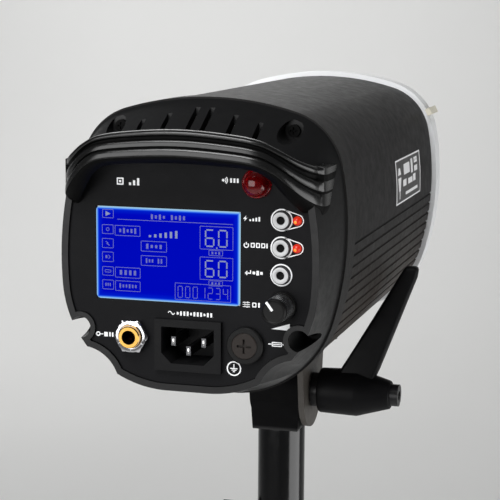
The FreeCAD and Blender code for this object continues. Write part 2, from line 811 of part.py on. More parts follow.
def make_photocell():
    """A red dome over the slave cell's sensor."""
    flange = cylinder("cell_flange", "cell_radius", "1.6", head("cell_x", "0", "cell_z"), "-y")
    bulge = common("cell_bulge", ball("cell_ball", "cell_radius - 0.7", head("cell_x", "-1", "cell_z")),
                   block("cell_front", ("20", "9", "20"), head("cell_x", "-4.5", "cell_z")))
    neck = cylinder("cell_neck", "4.95", "panel_thickness", head("cell_x", "0", "cell_z"))
    hollow = cylinder("cell_hollow", "3.6", "7", head("cell_x", "-3.4", "cell_z"))
    keep("cell_dome", cut("cell", fuse("cell_solid", flange, bulge, neck), hollow))
    keep("cell_sensor", cylinder("cell_sensor_can", "3.4", "9", head("cell_x", "-2", "cell_z")))


# ---------------------------------------------------------------- inside the head

def make_cover_fasteners():
    posts = at_wells("post", "post_radius", "collar_start", "bulkhead_start - collar_start")
    holes = at_wells("post_hole", "screw_radius", "collar_start - 1", "12")
    keep("cover_posts", cut("posts", group("post_group", *posts), *holes))
    heads = at_wells("screw_head", "screw_head_radius", "well_floor - screw_head_height",
                     "screw_head_height")
    shanks = at_wells("screw_shank", "screw_radius", "well_floor", "13")
    crosses = []
    for x, z in WELLS:
        for extent in (("3.2", "1.6", "0.8"), ("0.8", "1.6", "3.2")):
            crosses.append(block("screw_cross", extent, head(x, "well_floor - screw_head_height", z)))
    whole = [fuse("cover_screw", top, shank) for top, shank in zip(heads, shanks)]
    keep("cover_screws", cut("cover_screws_crossed", group("cover_screw_group", *whole), *crosses))


def make_chassis():
    """A bulkhead behind the cover, a tray along the bottom and two rails for the main board."""
    plate = prism("bulkhead", outline(SHELL, "(-shell_wall - 0.3)"), "bulkhead_start", "2")
    window = cylinder("bulkhead_window", "fan_size / 2 - 2", "6", head("0", "bulkhead_start - 2", "15"))
    tray = block("tray", ("38", "plate_start - bulkhead_start", "1.5"),
                 head("0", "(plate_start + bulkhead_start) / 2", "-51.2"))
    rails = [block("rail", ("4", "166", "4"), head(f"{sign} * 49", "bulkhead_start + 83", "44"))
             for sign in (-1, 1)]
    keep("chassis", cut("chassis_frame", fuse("chassis_solid", plate, tray, *rails), window))


def make_fan():
    """An axial fan: a square frame with three spokes, and a rotor with seven twisted blades."""
    centre_z = "15"
    start = "bulkhead_start + 2"
    frame = block("fan_block", ("fan_size", "fan_depth", "fan_size"),
                  head("0", f"{start} + fan_depth / 2", centre_z))
    duct = cylinder("fan_duct", "fan_size / 2 - 2", "fan_depth + 4", head("0", f"{start} - 2", centre_z))
    motor = cylinder("fan_motor", "13", "2", head("0", f"{start} + 12.8", centre_z))
    pin_hole = cylinder("fan_pin_hole", "1.55", "6", head("0", f"{start} + 11", centre_z))
    spokes = []
    for index in range(3):
        spoke = doc.addObject("Part::Box", "fan_spoke")
        bind(spoke, Length="3", Width="2", Height="fan_size / 2 - 1")
        turn = Rotation(Vector(0, 1, 0), 120 * index + 30)
        place(spoke, head("0", f"{start} + 12.8", centre_z), turn)
        spokes.append(spoke)
    open_frame = cut("fan_open", frame, duct)
    keep("fan_frame", cut("fan", fuse("fan_parts", open_frame, motor, *spokes), pin_hole))

    rotor = Part.makeCylinder(12, 10.5, Vector(0, 1, 0), Vector(0, 1, 0))
    rotor = rotor.fuse(Part.makeCylinder(1.5, 3, Vector(0, 11.5, 0), Vector(0, 1, 0)))
    blade_count, blade_length, blade_width = 7, size("fan_size / 2 - 14.5"), 11
    for index in range(blade_count):
        blade = Part.makeBox(blade_width, 1.2, blade_length,
                             Vector(-blade_width / 2, 5.5, 11.5))
        blade.rotate(Vector(0, 6, 0), Vector(0, 0, 1), 35)
        blade.rotate(Vector(), Vector(0, 1, 0), 360 / blade_count * index)
        rotor = rotor.fuse(blade)
    wheel = doc.addObject("Part::Feature", "fan_wheel")
    wheel.Shape = rotor
    keep("fan_rotor", place(wheel, head("0", start, centre_z)))


def make_electronics():
    """Four storage capacitors in a cradle, the main board, its heat sink and the trigger coil."""
    first_y = "118"
    places = [(sign_x * 20, sign_z * 20 - 6) for sign_z in (1, -1) for sign_x in (-1, 1)]
    for index, (x, z) in enumerate(places, start=1):
        keep(f"flash_capacitor_{index}",
             cylinder("capacitor", "capacitor_radius", "capacitor_length", head(str(x), first_y, str(z))))
    cradle = block("cradle_plate", ("80", "3", "90"), head("0", "150", "-5.4"))
    holes = [cylinder("cradle_hole", "capacitor_radius + 0.1", "9", head(str(x), "146", str(z)))
             for x, z in places]
    inside = prism("cradle_limit", outline(SHELL, "(-shell_wall - 0.5)"), "148", "4")
    keep("capacitor_cradle", cut("cradle", common("cradle_trimmed", cradle, inside), *holes))
    keep("main_board", block("main_board_plate", ("102", "130", "board_thickness"),
                             head("0", "155", "46 + board_thickness / 2")))
    base = block("sink_base", ("30", "60", "3"), head("-20", "150", "46 + board_thickness + 1.5"))
    fins = [block("sink_fin", ("1.6", "60", "14"), head(f"-33.5 + {index} * 5.4", "150", "56"))
            for index in range(6)]
    keep("heat_sink", fuse("sink", base, *fins))
    core = block("trigger_core", ("20", "22", "16"), head("22", "195", "46 + board_thickness + 8"))
    keep("trigger_coil", core)


# ---------------------------------------------------------------- front end

def make_front():
    """The front ring, its seal, the bayonet for reflectors and the plate and pan of the lamps."""
    plate = prism("front_plate_blank", outline(SHELL, "(-shell_wall - 0.3)"), "plate_start",
                  "plate_thickness")
    pocket(plate, circle("0", "optic_z", "throat_radius"), "plate_start", "plate_thickness")
    keep("front_plate", plate)

    band = prism("front_band", outline(SHELL, "ring_grow"), "shell_end", "ring_end - shell_end")
    pocket(band, outline(SHELL, "(-1.5)"), "shell_end", "ring_end - shell_end - 3")
    pocket(band, circle("0", "optic_z", "bayonet_radius + 0.1"), "shell_end", "ring_end - shell_end")
    corner_x, corner_z = upper_corner_centre()
    angle = size("latch_angle")
    out = size("upper_corner + ring_grow")
    spin = Rotation(Vector(0, 1, 0), 90 - angle)

    def latch_bar(name, extent, radial, start):
        bar = doc.addObject("Part::Box", name)
        bind(bar, Length=extent[0], Width=extent[1], Height=extent[2])
        half = extent[0] / 2
        along, across = math.radians(angle), math.radians(angle + 90)
        x = corner_x + radial * math.cos(along) + half * math.cos(across)
        z = corner_z + radial * math.sin(along) + half * math.sin(across)
        return place(bar, head(str(x), start, str(z)), spin)

    slot = latch_bar("latch_slot", (3.4, 9, 12), out - 8, "shell_end + 1")
    keep("front_ring", cut("ring_slotted", band, slot))
    latch = fuse("latch", latch_bar("latch_bar", (4, 21, 2.6), out + 0.35, "shell_end - 6.5"),
                 latch_bar("latch_pin", (3, 3.4, 6), out - 4.4, "shell_end + 6"))
    keep("release_latch", latch)

    seal = prism("front_seal_blank", outline(SHELL, "0.8"), "ring_end", "1.3")
    pocket(seal, outline(SHELL, "(-3)"), "ring_end", "1.3")
    keep("front_seal", seal)

    depth = "ring_end - plate_start - plate_thickness - 1"
    profile = [("0", "throat_radius"), ("0", "bayonet_radius"), (depth, "bayonet_radius"),
               (depth, "throat_radius"), ("8", "throat_radius"), ("8", "throat_radius + 3"),
               ("4", "throat_radius + 3"), ("4", "throat_radius")]
    ring = turned("bayonet", profile, head("0", "plate_start + plate_thickness", "optic_z"))
    entries = []
    for index in range(3):
        entry = doc.addObject("Part::Box", "bayonet_entry")
        bind(entry, Length="18", Width="20", Height="throat_radius + 3")
        turn = Rotation(Vector(0, 1, 0), 120 * index)
        lift = turn.multVec(Vector(-9, 0, 0))
        place(entry, head(str(lift.x), "plate_start + plate_thickness + 6", f"optic_z + {lift.z}"), turn)
        entries.append(entry)
    keep("reflector_mount", cut("bayonet_ring", ring, *entries))

    pan_profile = [("0", "0"), ("0", "41"), ("plate_start - 224.5 + plate_thickness", "throat_radius - 0.2"),
                   ("plate_start - 224.5 + plate_thickness", "throat_radius - 1.8"),
                   ("1.5", "39.5"), ("1.5", "0")]
    pan = turned("pan", pan_profile, head("0", "224.5", "optic_z"))
    sockets = tube_legs("socket_hole", "7.1", "220", "12")
    lamp_hole = cylinder("lamp_hole", "17.1", "12", head("0", "220", "optic_z"))
    keep("lamp_pan", cut("lamp_pan_open", pan, lamp_hole, *sockets))


def upper_corner_centre():
    """Where the centre of the housing's upper right corner lies."""
    crown_centre = Vector(0, size("shell_top - crown_radius"), 0)
    side_centre = Vector(size("shell_half - side_radius"), size("widest_level"), 0)
    centre = meeting(crown_centre, size("crown_radius - upper_corner"),
                     side_centre, size("side_radius - upper_corner"))
    return centre.x, centre.y


def tube_legs(name, radius, start, length):
    """Cylinders where the two ends of the flash tube turn back towards the plate."""
    return [cylinder(name, radius, length, head(f"{sign} * tube_loop_radius * 0.5", start,
                                                "optic_z - tube_loop_radius * 0.866"))
            for sign in (-1, 1)]


def make_lamps():
    """A ring flash tube on two ceramic sockets round a modelling lamp."""
    loop = doc.addObject("Part::Torus", "tube_loop")
    bind(loop, Radius1="tube_loop_radius", Radius2="tube_radius")
    loop.Angle3 = 300
    place(loop, head("0", "251", "optic_z"), ALONG["y"].multiply(Rotation(Vector(0, 0, 1), 120)))
    keep("flash_tube", fuse("tube", loop, *tube_legs("tube_leg", "tube_radius - 0.6", "226", "26")))
    sockets = group("tube_socket_group", *tube_legs("tube_socket", "7", "216", "20"))
    bores = tube_legs("tube_socket_bore", "tube_radius - 0.5", "225.9", "20")
    keep("tube_sockets", cut("tube_sockets_bored", sockets, *bores))
    base = cylinder("lamp_base", "12.5", "20", head("0", "214", "optic_z"))
    neck = cone("lamp_neck", "12.5", "17.3", "16", head("0", "234", "optic_z"))
    bulb = ball("lamp_bulb", "20", head("0", "260", "optic_z"))
    keep("modelling_lamp", fuse("lamp", base, neck, bulb))
    shell = cylinder("lamp_socket_blank", "17", "26", head("0", "206", "optic_z"))
    bore = cylinder("lamp_socket_bore", "12.6", "26", head("0", "213.9", "optic_z"))
    keep("lamp_socket", cut("lamp_socket_bored", shell, bore))


# ---------------------------------------------------------------- bracket, adapter and lever

HINGE_Y = "tilt_to_panel"


def make_bracket():
    """A saddle that hugs the housing's base, with one broad ear for the tilt bolt."""
    saddle = block("saddle", ("52", "54", "8"), head("0", HINGE_Y, "-shell_bottom + 1"))
    tube = prism("housing_form", outline(SHELL), "shell_start", "shell_end - shell_start")
    top = "head_height - shell_bottom - 1 - tilt_height"
    flare = polygon(("-ear_radius", "0"), ("ear_radius", "0"), ("ear_radius + 5", top),
                    ("-ear_radius - 5", top))
    ear = new_body("ear", ("0", "0", "tilt_height"))
    pad(ear, flare, "block_half + ear_gap", "ear_thickness", role="YZ_Plane")
    ear_end = cylinder("ear_end", "ear_radius", "ear_thickness",
                       ("block_half + ear_gap", "0", "tilt_height"), "x")
    bolt_hole = cylinder("ear_bolt_hole", "bolt_radius + 0.08", "60", ("-30", "0", "tilt_height"), "x")
    holes = at_saddle_corners("saddle_hole", "saddle_screw_radius + 0.1", "12", "62")
    yoke = cut("yoke", fuse("yoke_solid", saddle, ear, ear_end), tube, bolt_hole, *holes)
    keep("bracket_yoke", yoke)
    shanks = at_saddle_corners("saddle_shank", "saddle_screw_radius", "10", "59")
    heads = at_saddle_corners("saddle_head", "3.6", "2.4", "61.4")
    screws = [fuse("saddle_screw", top_end, shank) for top_end, shank in zip(heads, shanks)]
    keep("bracket_screws", group("saddle_screws", *screws))


def at_saddle_corners(name, radius, length, level):
    """Upright cylinders where the bracket's four screws pass into the housing."""
    return [cylinder(name, radius, length,
                     (f"{i} * saddle_screw_x", f"{j} * saddle_screw_y", f"head_height - {level}"), "z")
            for i in (-1, 1) for j in (-1, 1)]


def make_adapter():
    """The hinge block, its stand sleeve and the boss of the locking screw."""
    hinge = cylinder("hinge_barrel", "block_radius", "2 * block_half",
                     ("-block_half", "0", "tilt_height"), "x")
    cheeks = new_body("adapter_cheeks", ("0", "0", "tilt_height"))
    pad(cheeks, polygon(("-block_half", "0"), ("-block_half + 1.6", "-20.5"),
                        ("block_half - 1.6", "-20.5"), ("block_half", "0")), "-14", "28")
    sleeve = cylinder("sleeve", "sleeve_radius", "tilt_height - 8", ("0", "0", "0"), "z")
    boss = cylinder("lock_boss", "6.5", "7", ("-sleeve_radius + 1", "0", "lock_height"), "-x")
    bores = [
        cylinder("stand_bore", "socket_radius", "socket_depth + 1", ("0", "0", "-1"), "z"),
        cylinder("adapter_bolt_hole", "bolt_radius + 0.03", "40", ("-20", "0", "tilt_height"), "x"),
        cylinder("bolt_head_recess", "bolt_recess_radius", "bolt_recess_depth + 1",
                 ("-block_half - 1", "0", "tilt_height"), "x"),
        cylinder("lock_hole", "3 + running_fit", "20", ("-4", "0", "lock_height"), "-x"),
    ]
    keep("stand_adapter", cut("adapter", fuse("adapter_solid", hinge, cheeks, sleeve, boss), *bores))


def make_tilt_bolt():
    seat = "-block_half + bolt_recess_depth"
    shank = cylinder("bolt_shank", "bolt_radius", "39.6 - bolt_recess_depth + block_half",
                     (f"{seat} - 1", "0", "tilt_height"), "x")
    bolt_head = doc.addObject("Part::Prism", "bolt_head")
    bolt_head.Polygon = 6
    bind(bolt_head, Circumradius="13 / sqrt(3)", Height="5")
    place(bolt_head, (f"{seat} - 1", "0", "tilt_height"), ALONG["-x"])
    keep("tilt_bolt", fuse("bolt", shank, bolt_head))
    washer = cylinder("washer_blank", "bolt_recess_radius - 0.2", "1", (f"{seat} - 1", "0", "tilt_height"),
                      "x")
    hole = cylinder("washer_hole", "bolt_radius + 0.03", "4", (f"{seat} - 2", "0", "tilt_height"), "x")
    keep("tilt_washer", cut("washer", washer, hole))


def make_lever():
    """A ratchet clamping lever: an insert on the bolt, a hub with a long arm, and its screw."""
    axis = "tilt_height"
    flange = cylinder("insert_flange", "collar_radius", "hub_start - 0.1 - 17.5", ("17.5", "0", axis), "x")
    boss = cylinder("insert_boss", "6", "26.6", ("hub_start - 0.2", "0", axis), "x")
    bore = cylinder("insert_bore", "bolt_radius + running_fit", "25", ("14", "0", axis), "x")
    thread = cylinder("insert_thread", "2.4", "40", ("20", "0", axis), "x")
    keep("lever_insert", cut("insert", fuse("insert_solid", flange, boss), bore, thread))

    profile = [("0", "6.1"), ("0", "hub_radius - 0.8"), ("0.8", "hub_radius"),
               ("hub_waist - hub_start", "hub_waist_radius"), ("hub_end - hub_start", "hub_end_radius"),
               ("hub_end - hub_start", "6.15"), ("30.5", "6.15"), ("30.5", "2.6"), ("26.8", "2.6"),
               ("26.8", "6.1")]
    hub = turned("lever_hub", profile, ("hub_start", "0", axis), "x")
    arm = new_body("lever_arm", ("0", "0", axis))
    blade = polygon(("30", "6.6"), ("50.5", "6.6"), ("53.2", "13"), ("73.6", "66.5"), ("72.4", "69.7"),
                    ("66.8", "69.7"), ("65.4", "68.2"), ("33.2", "13"))
    pad(arm, blade, "-5", "10")
    keep("tilt_lever", fuse("lever", hub, arm))

    head_part = cylinder("lever_screw_head", "5.85", "8", ("56.4", "0", axis), "x")
    shank = cylinder("lever_screw_shank", "2.35", "17", ("39.6", "0", axis), "x")
    socket = cylinder("lever_screw_socket", "2.6", "3", ("62.4", "0", axis), "x")
    keep("lever_screw", cut("lever_screw_open", fuse("lever_screw_solid", head_part, shank), socket))


def make_stand_lock():
    """The screw that clamps the stand's stud, with its hand knob."""
    shank = cylinder("lock_shank", "3", "20", ("-8.6", "0", "lock_height"), "-x")
    keep("lock_screw", shank)
    blank = cylinder("lock_knob_blank", "lock_knob_radius", "13", ("-20.6", "0", "lock_height"), "-x")
    socket = cylinder("lock_knob_socket", "3", "8", ("-20.6", "0", "lock_height"), "-x")
    scoops = []
    reach = size("lock_knob_radius") + 1.6
    for index in range(6):
        turn = math.radians(60 * index + 30)
        y, rise = reach * math.cos(turn), reach * math.sin(turn)
        scoops.append(cylinder("lock_scoop", "3.4", "15", ("-20", str(y), f"lock_height + {rise}"),
                               "-x"))
    keep("lock_knob", cut("lock_knob_shaped", blank, socket, *scoops))


def make_all():
    make_shell()
    make_collar()
    form = make_rear_cover()
    make_panel()
    make_handle(form)
    make_display()
    make_control_board()
    make_buttons()
    make_indicators()
    make_mode_knob()
    make_sync_socket()
    make_fuse()
    make_inlet()
    make_photocell()
    make_cover_fasteners()
    make_chassis()
    make_fan()
    make_electronics()
    make_front()
    make_lamps()
    make_bracket()
    make_adapter()
    make_tilt_bolt()
    make_lever()
    make_stand_lock()
    doc.recompute()


def check_all():
    """Stop on any failed feature and on any sub-part without a sound shape."""
    for feature in doc.Objects:
        if {"Invalid", "Error"} & set(feature.State):
            raise RuntimeError(f"{feature.Name} failed: {feature.State}")
    for node, feature in pieces.items():
        if feature.Shape.isNull() or not feature.Shape.isValid():
            raise RuntimeError(f"{node} has no sound shape")
        if not feature.Shape.Solids:
            raise RuntimeError(f"{node} has no solid")


make_all()
check_all()
os.makedirs("parts", exist_ok=True)
for node, feature in pieces.items():
    feature.Shape.exportStep(f"parts/{node}.step")
print(f"{len(pieces)} sub-parts written")
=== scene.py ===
import json
from math import acos, cos, degrees, pi, radians, sin, sqrt

import bmesh
import bpy
from mathutils import Matrix, Vector


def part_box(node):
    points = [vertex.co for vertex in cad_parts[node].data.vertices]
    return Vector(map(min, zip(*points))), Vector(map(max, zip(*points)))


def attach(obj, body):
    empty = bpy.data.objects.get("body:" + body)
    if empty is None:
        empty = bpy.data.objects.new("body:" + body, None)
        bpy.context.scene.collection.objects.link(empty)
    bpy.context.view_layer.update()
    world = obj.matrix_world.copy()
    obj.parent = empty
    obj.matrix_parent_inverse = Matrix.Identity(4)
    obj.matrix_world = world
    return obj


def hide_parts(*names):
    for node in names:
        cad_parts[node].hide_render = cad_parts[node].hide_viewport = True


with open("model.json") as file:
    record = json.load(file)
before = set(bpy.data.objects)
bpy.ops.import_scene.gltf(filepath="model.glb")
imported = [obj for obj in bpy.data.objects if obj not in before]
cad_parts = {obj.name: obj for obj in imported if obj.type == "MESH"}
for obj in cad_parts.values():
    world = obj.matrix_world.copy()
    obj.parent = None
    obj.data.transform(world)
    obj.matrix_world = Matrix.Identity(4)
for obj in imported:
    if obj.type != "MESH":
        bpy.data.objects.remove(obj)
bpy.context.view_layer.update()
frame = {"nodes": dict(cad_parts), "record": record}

MM = 0.001

# The head's own frame: y is 0 on the panel's face, z is 0 at the level the sizes are given from.
SHELL_BOTTOM = 56
PANEL_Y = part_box("control_panel")[0][1]
LEVEL_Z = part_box("body_shell")[0][2] + SHELL_BOTTOM * MM


def head(x, y, z):
    """A point given in millimetres in the head's own frame."""
    return Vector((x * MM, PANEL_Y + y * MM, LEVEL_Z + z * MM))


def extent(node):
    """The low and high corners of a CAD node in millimetres in the head's own frame."""
    return [Vector((x / MM, (y - PANEL_Y) / MM, (z - LEVEL_Z) / MM)) for x, y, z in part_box(node)]


def middle(node):
    low, high = extent(node)
    return (low + high) / 2


# ---------------------------------------------------------------- materials

class Nodes:
    """A short way to write a node material."""

    def __init__(self):
        self.material = bpy.data.materials.new("material")
        self.material.use_nodes = True
        self.tree = self.material.node_tree
        self.shader = self.tree.nodes["Principled BSDF"]
        self.coordinates = self.add("ShaderNodeTexCoord").outputs["Object"]

    def add(self, kind, **values):
        node = self.tree.nodes.new(kind)
        for name, value in values.items():
            setattr(node, name, value)
        return node

    def join(self, output, target):
        self.tree.links.new(output, target)

    def feed(self, socket, output):
        """Let an output drive one of the shader's inputs."""
        self.join(output, self.shader.inputs[socket])

    def stretched(self, scale):
        """Object coordinates scaled unevenly, for brushed or drawn surfaces."""
        mapping = self.add("ShaderNodeMapping")
        mapping.inputs["Scale"].default_value = scale
        self.join(self.coordinates, mapping.inputs["Vector"])
        return mapping.outputs["Vector"]

    def noise(self, scale, detail=3.0, roughness=0.55, vector=None):
        node = self.add("ShaderNodeTexNoise")
        node.inputs["Scale"].default_value = scale
        node.inputs["Detail"].default_value = detail
        node.inputs["Roughness"].default_value = roughness
        self.join(vector or self.coordinates, node.inputs["Vector"])
        return node.outputs["Fac"]

    def cells(self, scale, vector=None):
        node = self.add("ShaderNodeTexVoronoi")
        node.inputs["Scale"].default_value = scale
        self.join(vector or self.coordinates, node.inputs["Vector"])
        return node.outputs["Distance"]

    def spread(self, value, low, high, start=0.3, end=0.7):
        """Map a texture's values between two numbers."""
        node = self.add("ShaderNodeMapRange")
        ends = {"From Min": start, "From Max": end, "To Min": low, "To Max": high}
        for socket, number in ends.items():
            node.inputs[socket].default_value = number
        self.join(value, node.inputs["Value"])
        return node.outputs["Result"]

    def sum(self, operation, first, second):
        """Arithmetic on two values, either of which may be a number."""
        node = self.add("ShaderNodeMath", operation=operation)
        for index, value in enumerate((first, second)):
            if isinstance(value, (int, float)):
                node.inputs[index].default_value = value
            else:
                self.join(value, node.inputs[index])
        return node.outputs[0]

    def axes(self):
        split = self.add("ShaderNodeSeparateXYZ")
        self.join(self.coordinates, split.inputs["Vector"])
        return split.outputs

    def shades(self, value, stops):
        ramp = self.add("ShaderNodeValToRGB")
        elements = ramp.color_ramp.elements
        while len(elements) < len(stops):
            elements.new(0.5)
        for element, (place, colour) in zip(elements, stops):
            element.position = place
            element.color = (*colour, 1)
        self.join(value, ramp.inputs["Fac"])
        return ramp.outputs["Color"]

    def drifting(self, texture, colour, drift):
        """A colour that a texture makes a little darker or lighter."""
        darker, lighter = scaled(colour, 1 - drift), scaled(colour, 1 + drift)
        return self.shades(texture, [(0.3, darker), (0.7, lighter)])

    def relief(self, height, distance, strength=1.0, below=None):
        bump = self.add("ShaderNodeBump")
        bump.inputs["Distance"].default_value = distance * MM
        bump.inputs["Strength"].default_value = strength
        self.join(height, bump.inputs["Height"])
        if below:
            self.join(below, bump.inputs["Normal"])
        return bump.outputs["Normal"]

    def set(self, **values):
        for name, value in values.items():
            self.shader.inputs[name.replace("_", " ")].default_value = value


def scaled(colour, factor):
    return tuple(min(1, channel * factor) for channel in colour)


def finish(colour, rough, metallic=0.0, grain=0.45, depth=0.012, drift=0.12, brushed=None,
           **values):
    """A surface with slow drift in colour, patches of roughness and a fine grain in relief.

    grain is the size of the grain in millimetres; brushed is the axis the surface is drawn along.
    """
    nodes = Nodes()
    nodes.feed("Base Color", nodes.drifting(nodes.noise(28, detail=4), colour, drift))
    wear = nodes.noise(240, detail=5, roughness=0.7)
    nodes.feed("Roughness", nodes.spread(wear, rough[0], rough[1]))
    vector = None
    if brushed:
        vector = nodes.stretched([0.02 if axis == brushed else 1 for axis in "xyz"])
    fine = nodes.noise(1 / (grain * MM), detail=2, vector=vector)
    nodes.feed("Normal", nodes.relief(fine, depth))
    nodes.set(Metallic=metallic, **values)
    return nodes.material


def moulded(colour, rough, depth=0.02, **values):
    """Moulded plastic with a pebbled spark-eroded texture."""
    pebble, drift = 0.9, 0.1
    nodes = Nodes()
    nodes.feed("Base Color", nodes.drifting(nodes.noise(35, detail=3), colour, drift))
    nodes.feed("Roughness", nodes.spread(nodes.noise(300, detail=4), rough[0], rough[1]))
    pebbles = nodes.relief(nodes.cells(1 / (pebble * MM)), depth, 0.5)
    fine = nodes.noise(1 / (0.35 * pebble * MM))
    nodes.feed("Normal", nodes.relief(fine, depth * 0.6, below=pebbles))
    nodes.set(**values)
    return nodes.material


def painted_shell():
    """Crinkle paint on the housing: speckled grain, warmer on the ribbed lower part."""
    nodes = Nodes()
    zone = nodes.spread(nodes.axes()["Z"], 0, 1, LEVEL_Z - 30 * MM, LEVEL_Z + 12 * MM)
    base = nodes.shades(zone, [(0.0, (0.036, 0.0305, 0.027)), (1.0, (0.014, 0.0133, 0.0138))])
    speck = nodes.shades(nodes.noise(1 / (0.5 * MM), detail=3), [(0.35, (0.8, 0.8, 0.8)),
                                                                (0.65, (1.2, 1.2, 1.2))])
    mix = nodes.add("ShaderNodeMix", data_type="RGBA", blend_type="MULTIPLY")
    mix.inputs["Factor"].default_value = 1
    nodes.join(base, mix.inputs["A"])
    nodes.join(speck, mix.inputs["B"])
    nodes.feed("Base Color", mix.outputs["Result"])
    nodes.feed("Roughness", nodes.spread(nodes.noise(200, detail=5), 0.36, 0.46))
    coarse = nodes.relief(nodes.cells(1 / (0.8 * MM)), 0.012, 0.6)
    nodes.feed("Normal", nodes.relief(nodes.noise(1 / (0.3 * MM)), 0.02, below=coarse))
    nodes.set(Specular_IOR_Level=0.03)
    return nodes.material


def lacquered_sleeve():
    """Black lacquer, glossy on the stand sleeve and dull and darker on the hinge block above it."""
    nodes = Nodes()
    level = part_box("tilt_bolt")[0][2] - 14 * MM
    rise = nodes.axes()["Z"]
    dull = nodes.spread(rise, 0.13, 0.7, level, level + 3 * MM)
    patches = nodes.spread(nodes.noise(240, detail=5), 0, 0.06)
    nodes.feed("Roughness", nodes.sum("ADD", dull, patches))
    nodes.feed("Base Color", nodes.shades(nodes.noise(28, detail=4),
                                          [(0.3, (0.0022, 0.0022, 0.0025)),
                                           (0.7, (0.0034, 0.0034, 0.0038))]))
    nodes.feed("Normal", nodes.relief(nodes.noise(1 / (1.5 * MM)), 0.003))
    nodes.feed("Metallic", nodes.spread(rise, 0, 0.85, level, level + 3 * MM))
    nodes.set(Specular_IOR_Level=0.55)
    return nodes.material


def glowing(colour, base):
    """A lit surface whose glow is slightly uneven."""
    nodes = Nodes()
    nodes.feed("Emission Color", nodes.drifting(nodes.noise(90, detail=2), colour, 0.06))
    nodes.feed("Roughness", nodes.spread(nodes.noise(400), 0.2, 0.3))
    nodes.set(Base_Color=(*base, 1), Emission_Strength=1.0)
    return nodes.material


def clear(colour, rough, transmission=1.0):
    """Glass or clear plastic with faint ripples."""
    nodes = Nodes()
    nodes.feed("Normal", nodes.relief(nodes.noise(160, detail=1), 0.03, 0.4))
    nodes.feed("Roughness", nodes.spread(nodes.noise(500), rough * 0.6, rough * 1.4))
    nodes.set(Base_Color=(*colour, 1), IOR=1.47, Transmission_Weight=transmission)
    return nodes.material


def screen_glow():
    """The display's backlight: deep blue that pales to cyan white in a thin line round the edge."""
    nodes = Nodes()
    low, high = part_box("lcd_window")
    place = nodes.axes()
    beyond = []
    for axis, side in (("X", 0), ("Z", 2)):
        centre, half = (low[side] + high[side]) / 2, (high[side] - low[side]) / 2
        away = nodes.sum("ABSOLUTE", nodes.sum("SUBTRACT", place[axis], centre), 0)
        beyond.append(nodes.sum("SUBTRACT", away, half))
    run = nodes.spread(nodes.sum("MAXIMUM", *beyond), 0, 1, -5 * MM, 0)
    colours = nodes.shades(run, [(0.0, (0.0, 0.0, 0.45)), (0.35, (0.0, 0.0, 0.48)),
                                 (0.72, (0.0, 0.01, 0.55)), (0.82, (0.02, 0.12, 0.8)),
                                 (0.9, (0.2, 0.45, 0.85)), (1.0, (0.38, 0.6, 0.74))])
    nodes.feed("Emission Color", colours)
    nodes.feed("Roughness", nodes.spread(nodes.noise(300), 0.12, 0.2))
    nodes.set(Base_Color=(0, 0.002, 0.03, 1), Emission_Strength=1.0, Specular_IOR_Level=0.0)
    return nodes.material


